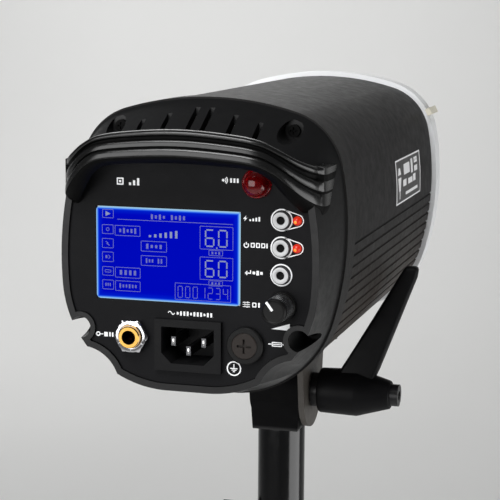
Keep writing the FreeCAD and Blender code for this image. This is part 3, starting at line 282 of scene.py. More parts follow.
def make_materials():
    """The material of each slot, then those that only pieces made here use."""
    made = {
        "shell_paint": painted_shell(),
        "cover_plastic": moulded((0.006, 0.006, 0.0063), (0.34, 0.44), depth=0.004,
                                 Specular_IOR_Level=0.24),
        "collar_plastic": moulded((0.016, 0.0155, 0.0155), (0.42, 0.5), Specular_IOR_Level=0.06),
        "panel_paint": finish((0.0075, 0.0075, 0.0082), (0.42, 0.52), grain=0.3, depth=0.015,
                              Specular_IOR_Level=0.05),
        "handle_plastic": moulded((0.005, 0.005, 0.005), (0.2, 0.28), depth=0.004),
        "ring_silver": finish((0.84, 0.85, 0.86), (0.3, 0.4), metallic=0.1, grain=0.9, depth=0.006,
                              drift=0.06),
        "seal_rubber": moulded((0.012, 0.012, 0.012), (0.6, 0.75)),
        "latch_plastic": moulded((0.74, 0.7, 0.58), (0.35, 0.45), depth=0.01),
        "screen_clear": screen_glow(),
        "screen_module": finish((0.3, 0.3, 0.3), (0.3, 0.4), metallic=1.0, brushed="x"),
        "board_green": finish((0.02, 0.14, 0.05), (0.25, 0.4), drift=0.25),
        "white_plastic": moulded((0.75, 0.75, 0.74), (0.4, 0.5), depth=0.006),
        "button_metal": finish((0.46, 0.465, 0.47), (0.3, 0.4), grain=0.2, depth=0.004, drift=0.04),
        "led_red": glowing((0.5, 0.018, 0.002), base=(0.2, 0.005, 0.003)),
        "dome_red": clear((0.36, 0.003, 0.006), 0.05, transmission=0.8),
        "sensor_dark": finish((0.22, 0.006, 0.01), (0.12, 0.2), grain=0.8),
        "knob_plastic": moulded((0.006, 0.006, 0.006), (0.34, 0.44), depth=0.008,
                                Specular_IOR_Level=0.12),
        "steel": finish((0.55, 0.55, 0.56), (0.22, 0.38), metallic=1.0, brushed="x"),
        "bright_steel": finish((0.62, 0.62, 0.64), (0.12, 0.2), metallic=1.0, depth=0.002),
        "gold_brass": finish((0.44, 0.25, 0.06), (0.14, 0.22), metallic=1.0, depth=0.002),
        "fuse_plastic": moulded((0.022, 0.018, 0.016), (0.36, 0.46), depth=0.01,
                                Specular_IOR_Level=0.12),
        "fuse_glass": clear((0.9, 0.95, 1.0), 0.03),
        "inlet_plastic": moulded((0.007, 0.007, 0.0075), (0.36, 0.46), depth=0.012,
                                 Specular_IOR_Level=0.08),
        "chassis_metal": finish((0.62, 0.63, 0.62), (0.3, 0.45), metallic=1.0, grain=1.2,
                                drift=0.2),
        "fan_plastic": moulded((0.01, 0.01, 0.01), (0.35, 0.45)),
        "capacitor_sleeve": finish((0.012, 0.02, 0.09), (0.2, 0.32), grain=0.8),
        "cradle_plastic": moulded((0.16, 0.16, 0.16), (0.5, 0.6)),
        "heat_sink_metal": finish((0.12, 0.12, 0.125), (0.35, 0.5), metallic=0.9, brushed="y"),
        "coil_block": finish((0.5, 0.34, 0.06), (0.2, 0.35), grain=0.6, drift=0.2),
        "pan_metal": finish((0.9, 0.9, 0.9), (0.16, 0.26), metallic=1.0, grain=1.5),
        "mount_metal": finish((0.7, 0.71, 0.72), (0.2, 0.32), metallic=1.0, grain=0.25,
                              depth=0.006),
        "tube_glass": clear((0.95, 0.98, 1.0), 0.03, transmission=0.9),
        "ceramic_white": finish((0.8, 0.78, 0.72), (0.5, 0.65), grain=0.8),
        "lamp_glass": finish((0.86, 0.83, 0.76), (0.22, 0.3), grain=0.2, depth=0.003, drift=0.02,
                             Transmission_Weight=0.1),
        "bracket_paint": finish((0.05, 0.044, 0.038), (0.4, 0.52), grain=0.6, depth=0.025),
        "sleeve_black": lacquered_sleeve(),
        "lever_plastic": moulded((0.004, 0.004, 0.0045), (0.42, 0.52), depth=0.015,
                                 Specular_IOR_Level=0.1),
        "black_oxide": finish((0.008, 0.008, 0.009), (0.28, 0.4), Specular_IOR_Level=0.3),
        "print_white": finish((0.84, 0.85, 0.86), (0.45, 0.6), grain=0.2, depth=0.002, drift=0.04),
        # painted highlight for the ends of the inlet's blades
        "painted_blade_highlight": finish((0.85, 0.85, 0.84), (0.12, 0.2), metallic=0.9, depth=0.003),
        # painted shade: a dark copy of the blade steel for the inlet's blades down in the inlet
        "painted_shade_steel": finish((0.09, 0.09, 0.095), (0.3, 0.42), metallic=1.0, depth=0.003),
        "bore_dark": finish((0.002, 0.002, 0.002), (0.5, 0.7), Specular_IOR_Level=0.1),
        "lcd_ink": glowing((0.028, 0.042, 0.31), base=(0.01, 0.01, 0.05)),
        "lcd_digit": glowing((0.11, 0.15, 0.31), base=(0.03, 0.03, 0.05)),
        "led_core": glowing((0.85, 0.3, 0.02), base=(0.3, 0.05, 0.01)),
        "key_dot": moulded((0.014, 0.014, 0.015), (0.3, 0.4), depth=0.006),
        "facet_red": finish((0.4, 0.006, 0.01), (0.1, 0.16), grain=0.8, depth=0.004, metallic=0.6),
        "badge_white": finish((0.8, 0.8, 0.81), (0.5, 0.62), grain=0.3, depth=0.003, drift=0.05),
        "badge_black": finish((0.006, 0.006, 0.007), (0.3, 0.4), grain=0.3, depth=0.003),
        # painted shade: a darker, duller copy of the handle plastic, for the strap's grooves and
        # underside
        "painted_shade_black": moulded((0.0025, 0.0025, 0.0025), (0.5, 0.6), depth=0.004,
                                Specular_IOR_Level=0.05),
        "filament": finish((0.5, 0.45, 0.4), (0.3, 0.5), metallic=1.0, grain=0.3),
    }
    for name, material in made.items():
        material.name = name
    return made


MATERIALS = make_materials()
SLOTS = {part["node"]: part["material_slot"] for part in frame["record"]["subparts"]}

# nodes darker than their slot: black oxide bracket screws, painted shade on inlet blades and cover
# screws
BLACK_OXIDE_AND_PAINTED_SHADE = {"inlet_pins": "painted_shade_steel", "cover_screws": "painted_shade_black",
          "bracket_screws": "black_oxide"}

# how far the edges of some nodes are rounded, in millimetres
ROUNDED = {"mains_inlet": 0.35, "release_latch": 0.3, "bracket_yoke": 0.3, "lock_knob": 0.4,
           "lever_screw": 0.2, "front_ring": 0.25, "reflector_mount": 0.2, "heat_sink": 0.2}


def dress_nodes():
    """Give each CAD node the material of its slot and soften its edges."""
    for name, piece in frame["nodes"].items():
        piece.data.materials.clear()
        # some nodes take a darker material from the table above: black oxide, or painted shade
        piece.data.materials.append(MATERIALS[BLACK_OXIDE_AND_PAINTED_SHADE.get(name, SLOTS[name])])
        if name in ROUNDED:
            rounding = piece.modifiers.new("edge", "BEVEL")
            rounding.width = ROUNDED[name] * MM
            rounding.segments = 2
            rounding.limit_method = "ANGLE"
            rounding.angle_limit = radians(50)


# ---------------------------------------------------------------- mesh building

class Shape:
    """Faces gathered for one piece, each with a material."""

    def __init__(self, *materials):
        self.names = list(materials)
        self.vertices, self.faces, self.marks = [], [], []

    def add(self, vertices, faces, material):
        first = len(self.vertices)
        self.vertices += [Vector(vertex) for vertex in vertices]
        self.faces += [[first + index for index in face] for face in faces]
        self.marks += [self.names.index(material)] * len(faces)

    def grid(self, rows, material, closed=False):
        """A surface through rows of points; closed joins each row's ends."""
        count, width = len(rows), len(rows[0])
        points = [point for row in rows for point in row]
        faces = []
        for start in range(0, (count - 1) * width, width):
            for j in range(width if closed else width - 1):
                beside, below = (j + 1) % width, start + width
                faces.append((start + j, start + beside, below + beside, below + j))
        self.add(points, faces, material)

    def lathe(self, centre, axis, profile, material, steps=64, ripple=None):
        """Turn a profile of (distance along the axis, radius) round an axis.

        ripple gives the share by which the radius changes at an angle, for knurls and flutes.
        """
        axis = Vector(axis).normalized()
        side = axis.orthogonal().normalized()
        other = axis.cross(side)
        rows = []
        for along, radius in profile:
            row = []
            for step in range(steps):
                angle = 2 * pi * step / steps
                reach = radius * (1 + (ripple(angle, along) if ripple else 0)) * MM
                out = side * cos(angle) + other * sin(angle)
                row.append(centre + axis * along * MM + out * reach)
            rows.append(row)
        self.grid(rows, material, closed=True)

    def build(self, name, body, replaces=(), sharp=32):
        """Make the piece, riding on a body, and hide the CAD nodes it stands for."""
        mesh = bpy.data.meshes.new(name)
        mesh.from_pydata(self.vertices, [], self.faces)
        for material in self.names:
            mesh.materials.append(MATERIALS[material])
        for polygon, mark in zip(mesh.polygons, self.marks):
            polygon.material_index = mark
        made = bmesh.new()
        made.from_mesh(mesh)
        bmesh.ops.remove_doubles(made, verts=made.verts, dist=0.002 * MM)
        bmesh.ops.dissolve_degenerate(made, edges=made.edges, dist=0.001 * MM)
        bmesh.ops.recalc_face_normals(made, faces=made.faces)
        made.to_mesh(mesh)
        made.free()
        mesh.shade_smooth()
        mesh.set_sharp_from_angle(angle=radians(sharp))
        piece = bpy.data.objects.new(name, mesh)
        bpy.context.scene.collection.objects.link(piece)
        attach(piece, body)
        if replaces:
            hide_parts(*replaces)


def arc_points(cx, cz, radius, start, end, steps):
    """Points on an arc in a plane; angles in degrees, anticlockwise from +x."""
    return [(cx + radius * cos(radians(start + (end - start) * i / steps)),
             cz + radius * sin(radians(start + (end - start) * i / steps)))
            for i in range(steps + 1)]


def rounded_box(x, z, width, height, radius, steps=6):
    """The outline of a rectangle with round corners, anticlockwise."""
    points = []
    for sx, sz, start in ((1, 1, 0), (-1, 1, 90), (-1, -1, 180), (1, -1, 270)):
        points += arc_points(x + sx * (width / 2 - radius), z + sz * (height / 2 - radius), radius,
                             start, start + 90, steps)
    return points


class Marks:
    """Thin raised marks drawn in a plane: (x, z) in millimetres."""

    def __init__(self, to_point, height=0.05):
        self.to_point = to_point
        self.height = height
        self.parts = []

    def fill(self, outline):
        self.parts.append([outline])

    def band(self, outer, inner):
        """The area between two outlines with as many points each."""
        count = len(outer)
        self.parts.append([[outer[i], outer[(i + 1) % count], inner[(i + 1) % count], inner[i]]
                           for i in range(count)])

    def ring(self, x, z, inner, outer, steps=56):
        circle = [(cos(2 * pi * i / steps), sin(2 * pi * i / steps))
                  for i in range(steps)]
        self.band([(x + outer * c, z + outer * s) for c, s in circle],
                  [(x + inner * c, z + inner * s) for c, s in circle])

    def disc(self, x, z, radius, steps=24):
        self.fill([(x + radius * cos(2 * pi * i / steps),
                    z + radius * sin(2 * pi * i / steps)) for i in range(steps)])

    def box(self, x, z, width, height, radius=0.1):
        self.fill(rounded_box(x, z, width, height, radius, 2))

    def frame(self, x, z, width, height, line, radius=0.4):
        inner_radius = max(radius - line, 0.05)
        self.band(rounded_box(x, z, width, height, radius, 3),
                  rounded_box(x, z, width - 2 * line, height - 2 * line, inner_radius, 3))

    def line(self, points, width):
        """A line of even width through points, mitred at the bends."""
        left, right = [], []
        for index, (x, z) in enumerate(points):
            before = points[max(index - 1, 0)]
            after = points[min(index + 1, len(points) - 1)]
            into = Vector((x - before[0], z - before[1]))
            out = Vector((after[0] - x, after[1] - z))
            into = into.normalized() if into.length > 0 else out.normalized()
            out = out.normalized() if out.length > 0 else into
            along = (into + out).normalized()
            reach = width / 2 / max(along.dot(into), 0.5)
            left.append((x - along.y * reach, z + along.x * reach))
            right.append((x + along.y * reach, z - along.x * reach))
        self.parts.append([[left[i], left[i + 1], right[i + 1], right[i]]
                           for i in range(len(points) - 1)])

    def into(self, shape, material):
        for part in self.parts:
            made = bmesh.new()
            for outline in part:
                made.faces.new([made.verts.new((*point, 0)) for point in outline])
            bmesh.ops.remove_doubles(made, verts=made.verts, dist=1e-4)
            bmesh.ops.recalc_face_normals(made, faces=made.faces)
            raised = bmesh.ops.extrude_face_region(made, geom=made.faces[:])
            for item in raised["geom"]:
                if isinstance(item, bmesh.types.BMVert):
                    item.co.z = self.height
            made.verts.index_update()
            shape.add([self.to_point(*vertex.co) for vertex in made.verts],
                      [[vertex.index for vertex in face.verts] for face in made.faces], material)
            made.free()


# the way the panel faces
OUT = (0, -1, 0)


def on_panel(x, z, lift):
    """A point on the control panel's face, lifted towards the viewer."""
    return head(x, -lift, z)


# ---------------------------------------------------------------- handle

# the bend at each end, how far the upper edge leans in, and where the flat end pads begin
HANDLE_BEND = 30.7
STRAP_LEAN = 1.3
STRAP_END_Y = 3
# where the strap's upper and lower edges lie, as (distance from the middle, height)
STRAP_TOP = [(0, 67.6), (20, 66.5), (37, 64), (45.3, 60.4), (52.4, 56.1), (60, 51.8), (68, 47.2)]
STRAP_FOOT = [(0, 53), (20, 52.2), (35, 50.6), (42.2, 47.2), (47.2, 42.6), (59.2, 29.9), (62, 28.9),
              (68, 28.7)]
# the strap's section, as (share of its height from the top, depth behind its outer face)
STRAP_SECTION = [
    (0.02, 6.6), (0.0, 5.6), (0.0, 3.0), (0.012, 1.6), (0.04, 0.7), (0.085, 0.25), (0.13, 0.35),
    (0.16, 0.85), (0.175, 1.7), (0.195, 2.15), (0.26, 2.15), (0.28, 1.5), (0.295, 0.75),
    (0.33, 0.4), (0.4, 0.25), (0.465, 0.4), (0.487, 0.9), (0.5, 1.3), (0.52, 1.3), (0.533, 0.8),
    (0.55, 0.35), (0.61, 0.1), (0.7, 0.05), (0.77, 0.25), (0.82, 0.75), (0.87, 1.6), (0.92, 2.8),
    (0.96, 4.0), (0.99, 5.4), (1.0, 6.3), (0.985, 6.9), (0.95, 7.0), (0.5, 7.0), (0.06, 7.0),
]

# which stretches keep the handle's plastic and which, in the grooves and underneath, get painted
# shade
STRAP_ZONES = [(0, 7, "handle_plastic"), (7, 12, "painted_shade_black"), (12, 16, "handle_plastic"),
               (16, 19, "painted_shade_black"), (19, 23, "handle_plastic"),
               (23, len(STRAP_SECTION), "painted_shade_black")]


def smooth_between(points, x):
    """A smooth curve through points, read at x."""
    index = max(i for i, (start, _) in enumerate(points[:-1]) if x >= start or i == 0)

    def slope(i):
        low, high = points[max(i - 1, 0)], points[min(i + 1, len(points) - 1)]
        return (high[1] - low[1]) / (high[0] - low[0]) if i else 0

    (x0, z0), (x1, z1) = points[index], points[index + 1]
    run = x1 - x0
    t = (x - x0) / run
    return ((2 * t ** 3 - 3 * t ** 2 + 1) * z0 + (t ** 3 - 2 * t ** 2 + t) * run * slope(index)
            + (3 * t ** 2 - 2 * t ** 3) * z1 + (t ** 3 - t ** 2) * run * slope(index + 1))


def strap_plan(half, rear, far):
    """Points and inward directions along the strap seen from above, from left to right."""
    centre_x, centre_y = half - HANDLE_BEND, rear + HANDLE_BEND
    side = [(Vector((half, y)), Vector((-1, 0)))
            for y in (far, far - 1, (far + centre_y) / 2, centre_y + 1, centre_y)]
    bend = []
    for step in range(1, 33):
        angle = pi / 2 * step / 32
        out = Vector((cos(angle), -sin(angle)))
        bend.append((Vector((centre_x, centre_y)) + out * HANDLE_BEND, -out))
    right = side + bend
    left = [(Vector((-point.x, point.y)), Vector((-inward.x, inward.y))) for point, inward in right]
    straight = [(Vector((centre_x * (i / 12 * 2 - 1), rear)), Vector((0, 1))) for i in range(1, 12)]
    return left + straight + right[::-1]


def make_handle():
    low, high = extent("carry_handle")
    half, rear, far = high.x, low.y, high.y
    shape = Shape("handle_plastic", "painted_shade_black")
    rows = []
    for point, inward in strap_plan(half, rear, far):
        x = abs(point.x)
        top, foot = smooth_between(STRAP_TOP, x), smooth_between(STRAP_FOOT, x)
        # the grooves run out where the strap meets its flat end pads
        plain = min(1, max(0, (point.y - STRAP_END_Y) / 1.2))
        row = []
        for share, depth in STRAP_SECTION:
            shallow = depth
            if 0.03 < share < 0.8 and depth < 3:
                shallow = depth * (1 - plain) + 0.12 * plain
            elif 0.8 <= share < 0.99 and depth < 6.5:
                shallow = depth * (1 - 0.75 * plain)
            lean = STRAP_LEAN * (1 - share) * (1 - plain) if depth < 5 else 0
            place = point + inward * (shallow + lean)
            row.append(head(place.x, place.y, top + (foot - top) * share))
        rows.append(row)
    for start, end, material in STRAP_ZONES:
        shape.grid([[*row, row[0]][start:end + 1] for row in rows], material)
    # the strap's two end faces take the painted shade as well
    for row in (rows[0], rows[-1]):
        shape.add(row, [range(len(row))], "painted_shade_black")
    shape.build("carry_strap", "head", ["carry_handle"], sharp=50)


# ---------------------------------------------------------------- display

def seven_segments(marks, x, z, width, height, line, digit):
    """One numeral in a box whose lower left corner is (x, z)."""
    lit = {"0": "abcdef", "1": "bc", "2": "abged", "3": "abgcd", "4": "fgbc", "6": "afgedc"}[digit]
    gap, middle_z = line * 0.55, z + height / 2
    left, right, top = x, x + width, z + height
    ends = {"b": ((right, top - gap), (right, middle_z + gap)),
            "c": ((right, middle_z - gap), (right, z + gap)),
            "e": ((left, middle_z - gap), (left, z + gap)),
            "f": ((left, top - gap), (left, middle_z + gap))}
    for segment, level in (("a", top), ("d", z), ("g", middle_z)):
        ends[segment] = ((left + gap, level), (right - gap, level))
    for segment in lit:
        marks.line(list(ends[segment]), line)


def make_display():
    low, high = extent("lcd_window")
    centre = (low + high) / 2
    width, height = high.x - low.x, high.z - low.z
    shape = Shape("screen_clear")
    rows = []
    # a slab with round corners and softly rounded front edge
    for inset, depth in ((0.0, high.y), (0.0, low.y + 0.35), (0.1, low.y + 0.12), (0.35, low.y)):
        outline = rounded_box(centre.x, centre.z, width - 2 * inset, height - 2 * inset,
                              1.9 - inset, 8)
        rows.append([head(x, depth, z) for x, z in outline])
    shape.grid(rows, "screen_clear", closed=True)
    for row in (rows[0], rows[-1]):
        shape.add(row, [range(len(row))], "screen_clear")
    shape.build("screen", "head", ["lcd_window"], sharp=50)

    left, top = low.x, high.z

    def spot(u, v):
        return left + u * width, top - v * height

    ink = Marks(lambda x, z, lift: head(x, low.y - lift, z), 0.03)
    bright = Marks(lambda x, z, lift: head(x, low.y - lift, z), 0.035)
    line = 0.24

    def frame_at(u0, v0, u1, v1):
        (x0, z0), (x1, z1) = spot(u0, v0), spot(u1, v1)
        ink.frame((x0 + x1) / 2, (z0 + z1) / 2, x1 - x0, z0 - z1, line)

    def bars_in(u0, v0, u1, v1, pattern):
        """Short upright bars that stand for a word."""
        (x0, z0), (x1, z1) = spot(u0, v0), spot(u1, v1)
        step = (x1 - x0) / len(pattern)
        for index, share in enumerate(pattern):
            tall = (z0 - z1) * share
            if share:
                ink.box(x0 + step * (index + 0.5), z1 + (z0 - z1) / 2, step * 0.5, tall, 0.08)

    frame_at(0.045, 0.03, 0.125, 0.125)
    (x0, z0), (x1, z1) = spot(0.068, 0.05), spot(0.103, 0.105)
    bright.fill([(x0, z0), (x0, z1), (x1, (z0 + z1) / 2)])
    bars_in(0.38, 0.06, 0.63, 0.12, [0.9, 0.6, 0.9, 0.5, 0, 0.9, 0.6, 0.9, 0.7])
    ink.line([spot(0.15, 0.133), spot(0.95, 0.133)], line)
    icons = ((0.195, 0.297), (0.345, 0.45), (0.49, 0.6), (0.65, 0.75), (0.795, 0.9))
    for index, (v0, v1) in enumerate(icons):
        frame_at(0.042, v0, 0.123, v1)
        x, z = spot(0.0825, (v0 + v1) / 2)
        if index == 0:
            ink.ring(x, z, 0.55, 0.8, 20)
        elif index == 1:
            ink.line([(x - 1, z + 0.8), (x + 0.1, z + 0.1), (x - 0.4, z - 0.2), (x + 0.9, z - 1)],
                     0.3)
        elif index == 2:
            ink.box(x - 0.7, z, 0.9, 1.3)
            ink.line([(x + 0.3, z + 0.9), (x + 1.1, z), (x + 0.3, z - 0.9)], 0.25)
        elif index == 3:
            ink.frame(x, z, 3.0, 1.3, 0.25)
        else:
            for dx in (-1, 0, 1):
                ink.box(x + dx, z, 0.55, 1.4)
    for v0, v1, pattern in ((0.197, 0.31, [0.5, 0.8, 0.45, 0.6, 0.8]),
                            (0.65, 0.765, [0.7, 0.7, 0.7, 0.7]),
                            (0.797, 0.91, [0.7, 0.45, 0.45, 0.6, 0.5, 0.45])):
        frame_at(0.133, v0, 0.312, v1)
        bars_in(0.158, v0 + 0.02, 0.29, v1 - 0.02, pattern)
    for v0, v1, pattern in ((0.352, 0.466, [0.75, 0.45, 0.45, 0.6]),
                            (0.509, 0.62, [0.75, 0.5, 0.5, 0, 0.75, 0.7])):
        frame_at(0.316, v0, 0.497, v1)
        bars_in(0.345, v0 + 0.02, 0.47, v1 - 0.02, pattern)
    for index in range(6):
        u = 0.372 + 0.0365 * index
        tall = 0.022 + 0.0115 * index
        (x0, z0), (x1, z1) = spot(u, 0.31 - tall), spot(u + 0.0165, 0.31)
        bright.box((x0 + x1) / 2, (z0 + z1) / 2, x1 - x0, z0 - z1, 0.05)
    for v0, v1, unit in ((0.162, 0.41, 0.475), (0.49, 0.735, 0.8)):
        frame_at(0.725, v0, 0.953, v1)
        frame_at(0.786, v1 + 0.005, 0.883, unit)
        bars_in(0.8, v1 + 0.015, 0.87, unit - 0.01, [0.7, 0.5, 0.7])
        for index, digit in enumerate("60"):
            x, z = spot(0.765 + 0.09 * index, v1 - 0.035)
            seven_segments(bright, x, z, 3.7, (v1 - v0 - 0.075) * height, 0.62, digit)
    x, z = spot(0.842, 0.39)
    bright.disc(x, z, 0.35, 10)
    frame_at(0.553, 0.784, 0.939, 0.967)
    for index, digit in enumerate("0001234"):
        x, z = spot(0.575 + 0.052 * index, 0.94)
        seven_segments(ink, x, z, 2.0, 0.12 * height, 0.28, digit)
    drawn = Shape("lcd_ink", "lcd_digit")
    ink.into(drawn, "lcd_ink")
    bright.into(drawn, "lcd_digit")
    drawn.build("screen_segments", "head")


# ---------------------------------------------------------------- printing on the panel

def make_printing():
    marks = Marks(on_panel, 0.06)
    for node, led in (("test_button", "test_led"), ("power_button", "power_led"),
                      ("enter_button", None)):
        key = middle(node)
        marks.ring(key.x, key.z, 4.3, 4.9)
        if led:
            lamp = middle(led)
            apart = lamp.x - key.x
            lean = degrees(acos((4.6 - 2.6) / apart))
            around = arc_points(lamp.x, lamp.z, 2.6, lean, -lean, 18)
            start = arc_points(key.x, key.z, 4.6, lean, lean, 1)[0]
            end = arc_points(key.x, key.z, 4.6, -lean, -lean, 1)[0]
            marks.line([start, *around, end], 0.42)

    def strokes(*lines, width=0.5):
        for line in lines:
            marks.line(list(line), width)

    def ticks(x, z, step, width, heights):
        """A row of blocks, given by the middle of the first."""
        for index, tall in enumerate(heights):
            marks.box(x + step * index, z, width, tall)

    # test: a bolt and four rising bars
    x, z = 25.9, 28.9
    marks.fill([(x + 0.5, z + 1.3), (x - 1.0, z - 0.25), (x - 0.05, z - 0.25), (x - 0.5, z - 1.3),
                (x + 1.0, z + 0.2), (x + 0.05, z + 0.2)])
    for index in range(4):
        marks.box(x + 2.2 + 1.35 * index, z - 0.75 + 0.19 * index, 0.75, 0.8 + 0.38 * index)
    # power: a broken ring with a stroke, then frames and a bar
    x, z = 26.4, 17.3
    strokes(arc_points(x, z - 0.1, 1.0, 130, 410, 16), [(x, z + 1.25), (x, z + 0.1)], width=0.45)
    for index in range(3):
        marks.frame(x + 2.9 + 2.35 * index, z, 1.8, 2.1, 0.45, 0.3)
    marks.box(x + 9.3, z, 0.6, 2.1)
    # enter: a returning arrow and blocks
    x, z = 27.3, 5.2
    strokes([(x + 1.1, z + 1.1), (x + 1.1, z - 0.2), (x - 1.1, z - 0.2)],
            [(x - 0.4, z + 0.6), (x - 1.2, z - 0.2), (x - 0.4, z - 1.0)], width=0.45)
    ticks(x + 2.6, z, 1.7, 1.15, (1.2, 2.0, 1.2))
    # mode: three sliders, a frame and a bar
    x, z = 26.6, -8.9
    for index, at in enumerate((0.6, -0.7, 0.3)):
        level = z + 0.95 - 0.95 * index
        strokes([(x - 1.6, level), (x + 1.6, level)], width=0.28)
        marks.disc(x + at, level, 0.42, 14)
    marks.frame(x + 3.6, z, 1.9, 2.1, 0.45, 0.3)
    marks.box(x + 5.7, z, 0.75, 2.1)
    # sync: a ring with a lead, and blocks
    x, z = -39.4, -26.3
    marks.ring(x - 3.0, z, 0.55, 1.05, 20)
    strokes([(x - 2.0, z), (x - 0.6, z)], width=0.4)
    marks.box(x + 0.7, z, 1.7, 2.0)
    marks.box(x + 2.6, z, 0.7, 2.0)
    marks.box(x + 3.9, z, 0.7, 2.0)
    # fuse: a link in a case
    x, z = 40.5, -25.7
    marks.frame(x, z, 4.6, 2.0, 0.42, 0.3)
    strokes([(x - 4.0, z), (x + 4.0, z)], width=0.38)
    # cell: a dot with two arcs, and ticks
    x, z = 18.5, 45.0
    marks.disc(x - 2.6, z, 0.6, 16)
    for reach in (1.2, 1.9):
        strokes(arc_points(x - 2.6, z, reach, -48, 48, 8), width=0.4)
    ticks(x + 0.9, z, 1.5, 0.85, [1.9] * 3)
    # mains: a wave and a row of ticks
    x, z = 1.3, -14.7
    strokes([(x - 10.6 + 0.3 * i, z + 0.65 * sin(i * pi / 5)) for i in range(11)],
            width=0.38)
    ticks(x - 6.2, z, 1.55, 0.85, [1.9 if index % 4 else 1.1 for index in range(11)])
    # a square and rising bars at the upper left
    x, z = -31.5, 42.8
    marks.frame(x, z, 3.2, 3.2, 0.6, 0.3)
    marks.box(x, z, 1.0, 1.0)
    for index, tall in enumerate((1.2, 2.2, 3.2)):
        marks.box(x + 4.6 + 1.9 * index, z - 1.6 + tall / 2, 1.05, tall)
    # protective earth
    x, z = 21.1, -37.8
    marks.ring(x, z, 2.75, 3.3)
    strokes([(x, z + 2.0), (x, z + 0.1)], width=0.45)
    for index, reach in enumerate((1.7, 1.1, 0.5)):
        strokes([(x - reach, z - 0.7 * index), (x + reach, z - 0.7 * index)], width=0.42)
    # a wedge that says which way the mode knob counts up
    marks.fill([(37.8, -19.0), (46.2, -19.3), (46.2, -16.3)])
    shape = Shape("print_white")
    marks.into(shape, "print_white")
    shape.build("panel_printing", "head")


# ---------------------------------------------------------------- buttons, lamps, knob and sockets

def make_buttons():
    for node in ("test_button", "power_button", "enter_button"):
        key = middle(node)
        front = -extent(node)[0].y
        shape = Shape("button_metal", "key_dot", "bore_dark")
        centre = head(key.x, 0, key.z)
        for material, profile in (
                ("key_dot", [(-3.6, 4.7), (-2.7, 4.7), (-2.7, 3.9), (front - 0.6, 3.92),
                             (front - 0.3, 3.85), (front - 0.1, 3.6)]),
                ("button_metal", [(front - 0.1, 3.6), (front, 3.4), (front - 0.02, 2.6),
                                  (front - 0.15, 2.0), (front - 0.35, 1.8)]),
                ("bore_dark", [(front - 0.35, 1.8), (front - 0.85, 1.7), (front - 1.0, 1.2),
                               (front - 0.95, 0.001)])):
            shape.lathe(centre, OUT, profile, material, 72)
        shape.build(f"{node}_cap", node, [node], sharp=40)


def make_lamp_cores():
    """The brighter die inside each indicator."""
    shape = Shape("led_core")
    for node in ("test_led", "power_led"):
        low, _ = extent(node)
        lamp = middle(node)
        centre = head(lamp.x - 0.45, low.y + 0.12, lamp.z - 0.45)
        shape.lathe(centre, (-0.25, -1, -0.25),
                    [(-0.25, 0.75), (-0.08, 0.68), (0.04, 0.4), (0.08, 0.001)], "led_core", 24)
    shape.build("indicator_cores", "head")


def make_mode_knob():
    low, high = extent("mode_knob")
    knob = middle("mode_knob")
    reach = -low.y
    base = -high.y
    shape = Shape("knob_plastic", "mount_metal", "print_white")
    centre = head(knob.x, 0, knob.z)

    def knurl(angle, along):
        return 0.022 * (abs((angle * 44 / (2 * pi)) % 1 - 0.5) * 2 - 0.5)

    shape.lathe(centre, OUT, [(base, 5.9), (base, 6.25), (base + 0.4, 6.35), (base + 2.2, 6.2),
                              (base + 2.7, 5.75)], "knob_plastic", 96)
    shape.lathe(centre, OUT, [(base + 2.7, 5.6), (base + 3.2, 5.68), (reach - 2.6, 5.45)],
                "mount_metal", 264, knurl)
    shape.lathe(centre, OUT, [(reach - 2.6, 5.5), (reach - 1.0, 5.48), (reach - 0.35, 5.3),
                              (reach - 0.05, 4.95), (reach - 0.1, 4.6), (reach - 0.4, 4.3),
                              (reach - 0.45, 3.0), (reach - 0.3, 0.001)], "knob_plastic", 96)
    pointer = Marks(lambda x, z, lift: head(x, low.y + 0.1 - lift, z), 0.12)
    lean = radians(127)
    tip = (knob.x + 5.2 * cos(lean), knob.z + 5.2 * sin(lean))
    tail = (knob.x + 0.6 * cos(lean), knob.z + 0.6 * sin(lean))
    pointer.line([tip, tail], 1.1)
    pointer.into(shape, "print_white")
    shape.build("mode_dial", "mode_knob", ["mode_knob"], sharp=40)


def make_sync_socket():
    """A gold sleeve with a polished lip in a chamfered chrome nut."""
    jack = middle("sync_jack")
    lip = -extent("sync_jack")[0].y
    shape = Shape("gold_brass", "bore_dark", "bright_steel")
    centre = head(jack.x, 0, jack.z)
    shape.lathe(centre, OUT, [(3.1, 4.92), (lip - 1.3, 4.92), (lip - 0.9, 4.86),
                              (lip - 0.35, 4.55), (lip, 4.15), (lip - 0.05, 3.7),
                              (lip - 0.4, 3.35), (lip - 1.2, 3.2)], "gold_brass", 96)
    shape.lathe(centre, OUT, [(lip - 1.2, 3.2), (lip - 6, 3.2), (lip - 24, 3.2)], "bore_dark", 48)
    shape.lathe(centre, OUT, [(3.3, 4.98), (3.4, 5.5), (3.0, 6.1)], "bright_steel", 96)
    shape.build("sync_lip", "head")
    low, high = extent("sync_nut")
    front = -low.y
    width, height = high.x - low.x, high.z - low.z
    # half the nut's size across its flats; its corners lie along the longer side of its box
    flat = min(width, height) / 2
    turn = 0 if width > height else pi / 6
    hexagon = Shape("bright_steel")
    rows = []
    corner = flat * 2 / sqrt(3)
    steps = 96
    for along, limit in ((0.05, corner), (front - 1.0, corner), (front - 0.55, corner),
                         (front - 0.2, flat + 0.15), (front, flat - 0.35), (front + 0.02, 5.3),
                         (front - 0.5, 5.0)):
        row = []
        for step in range(steps):
            angle = 2 * pi * step / steps
            sector = (angle + turn) % (pi / 3) - pi / 6
            radius = min(flat / cos(sector), limit)
            row.append(head(jack.x + radius * cos(angle), -along,
                            jack.z + radius * sin(angle)))
        rows.append(row)
    hexagon.grid(rows, "bright_steel", closed=True)
    hexagon.build("sync_hexagon", "head", ["sync_nut"], sharp=28)


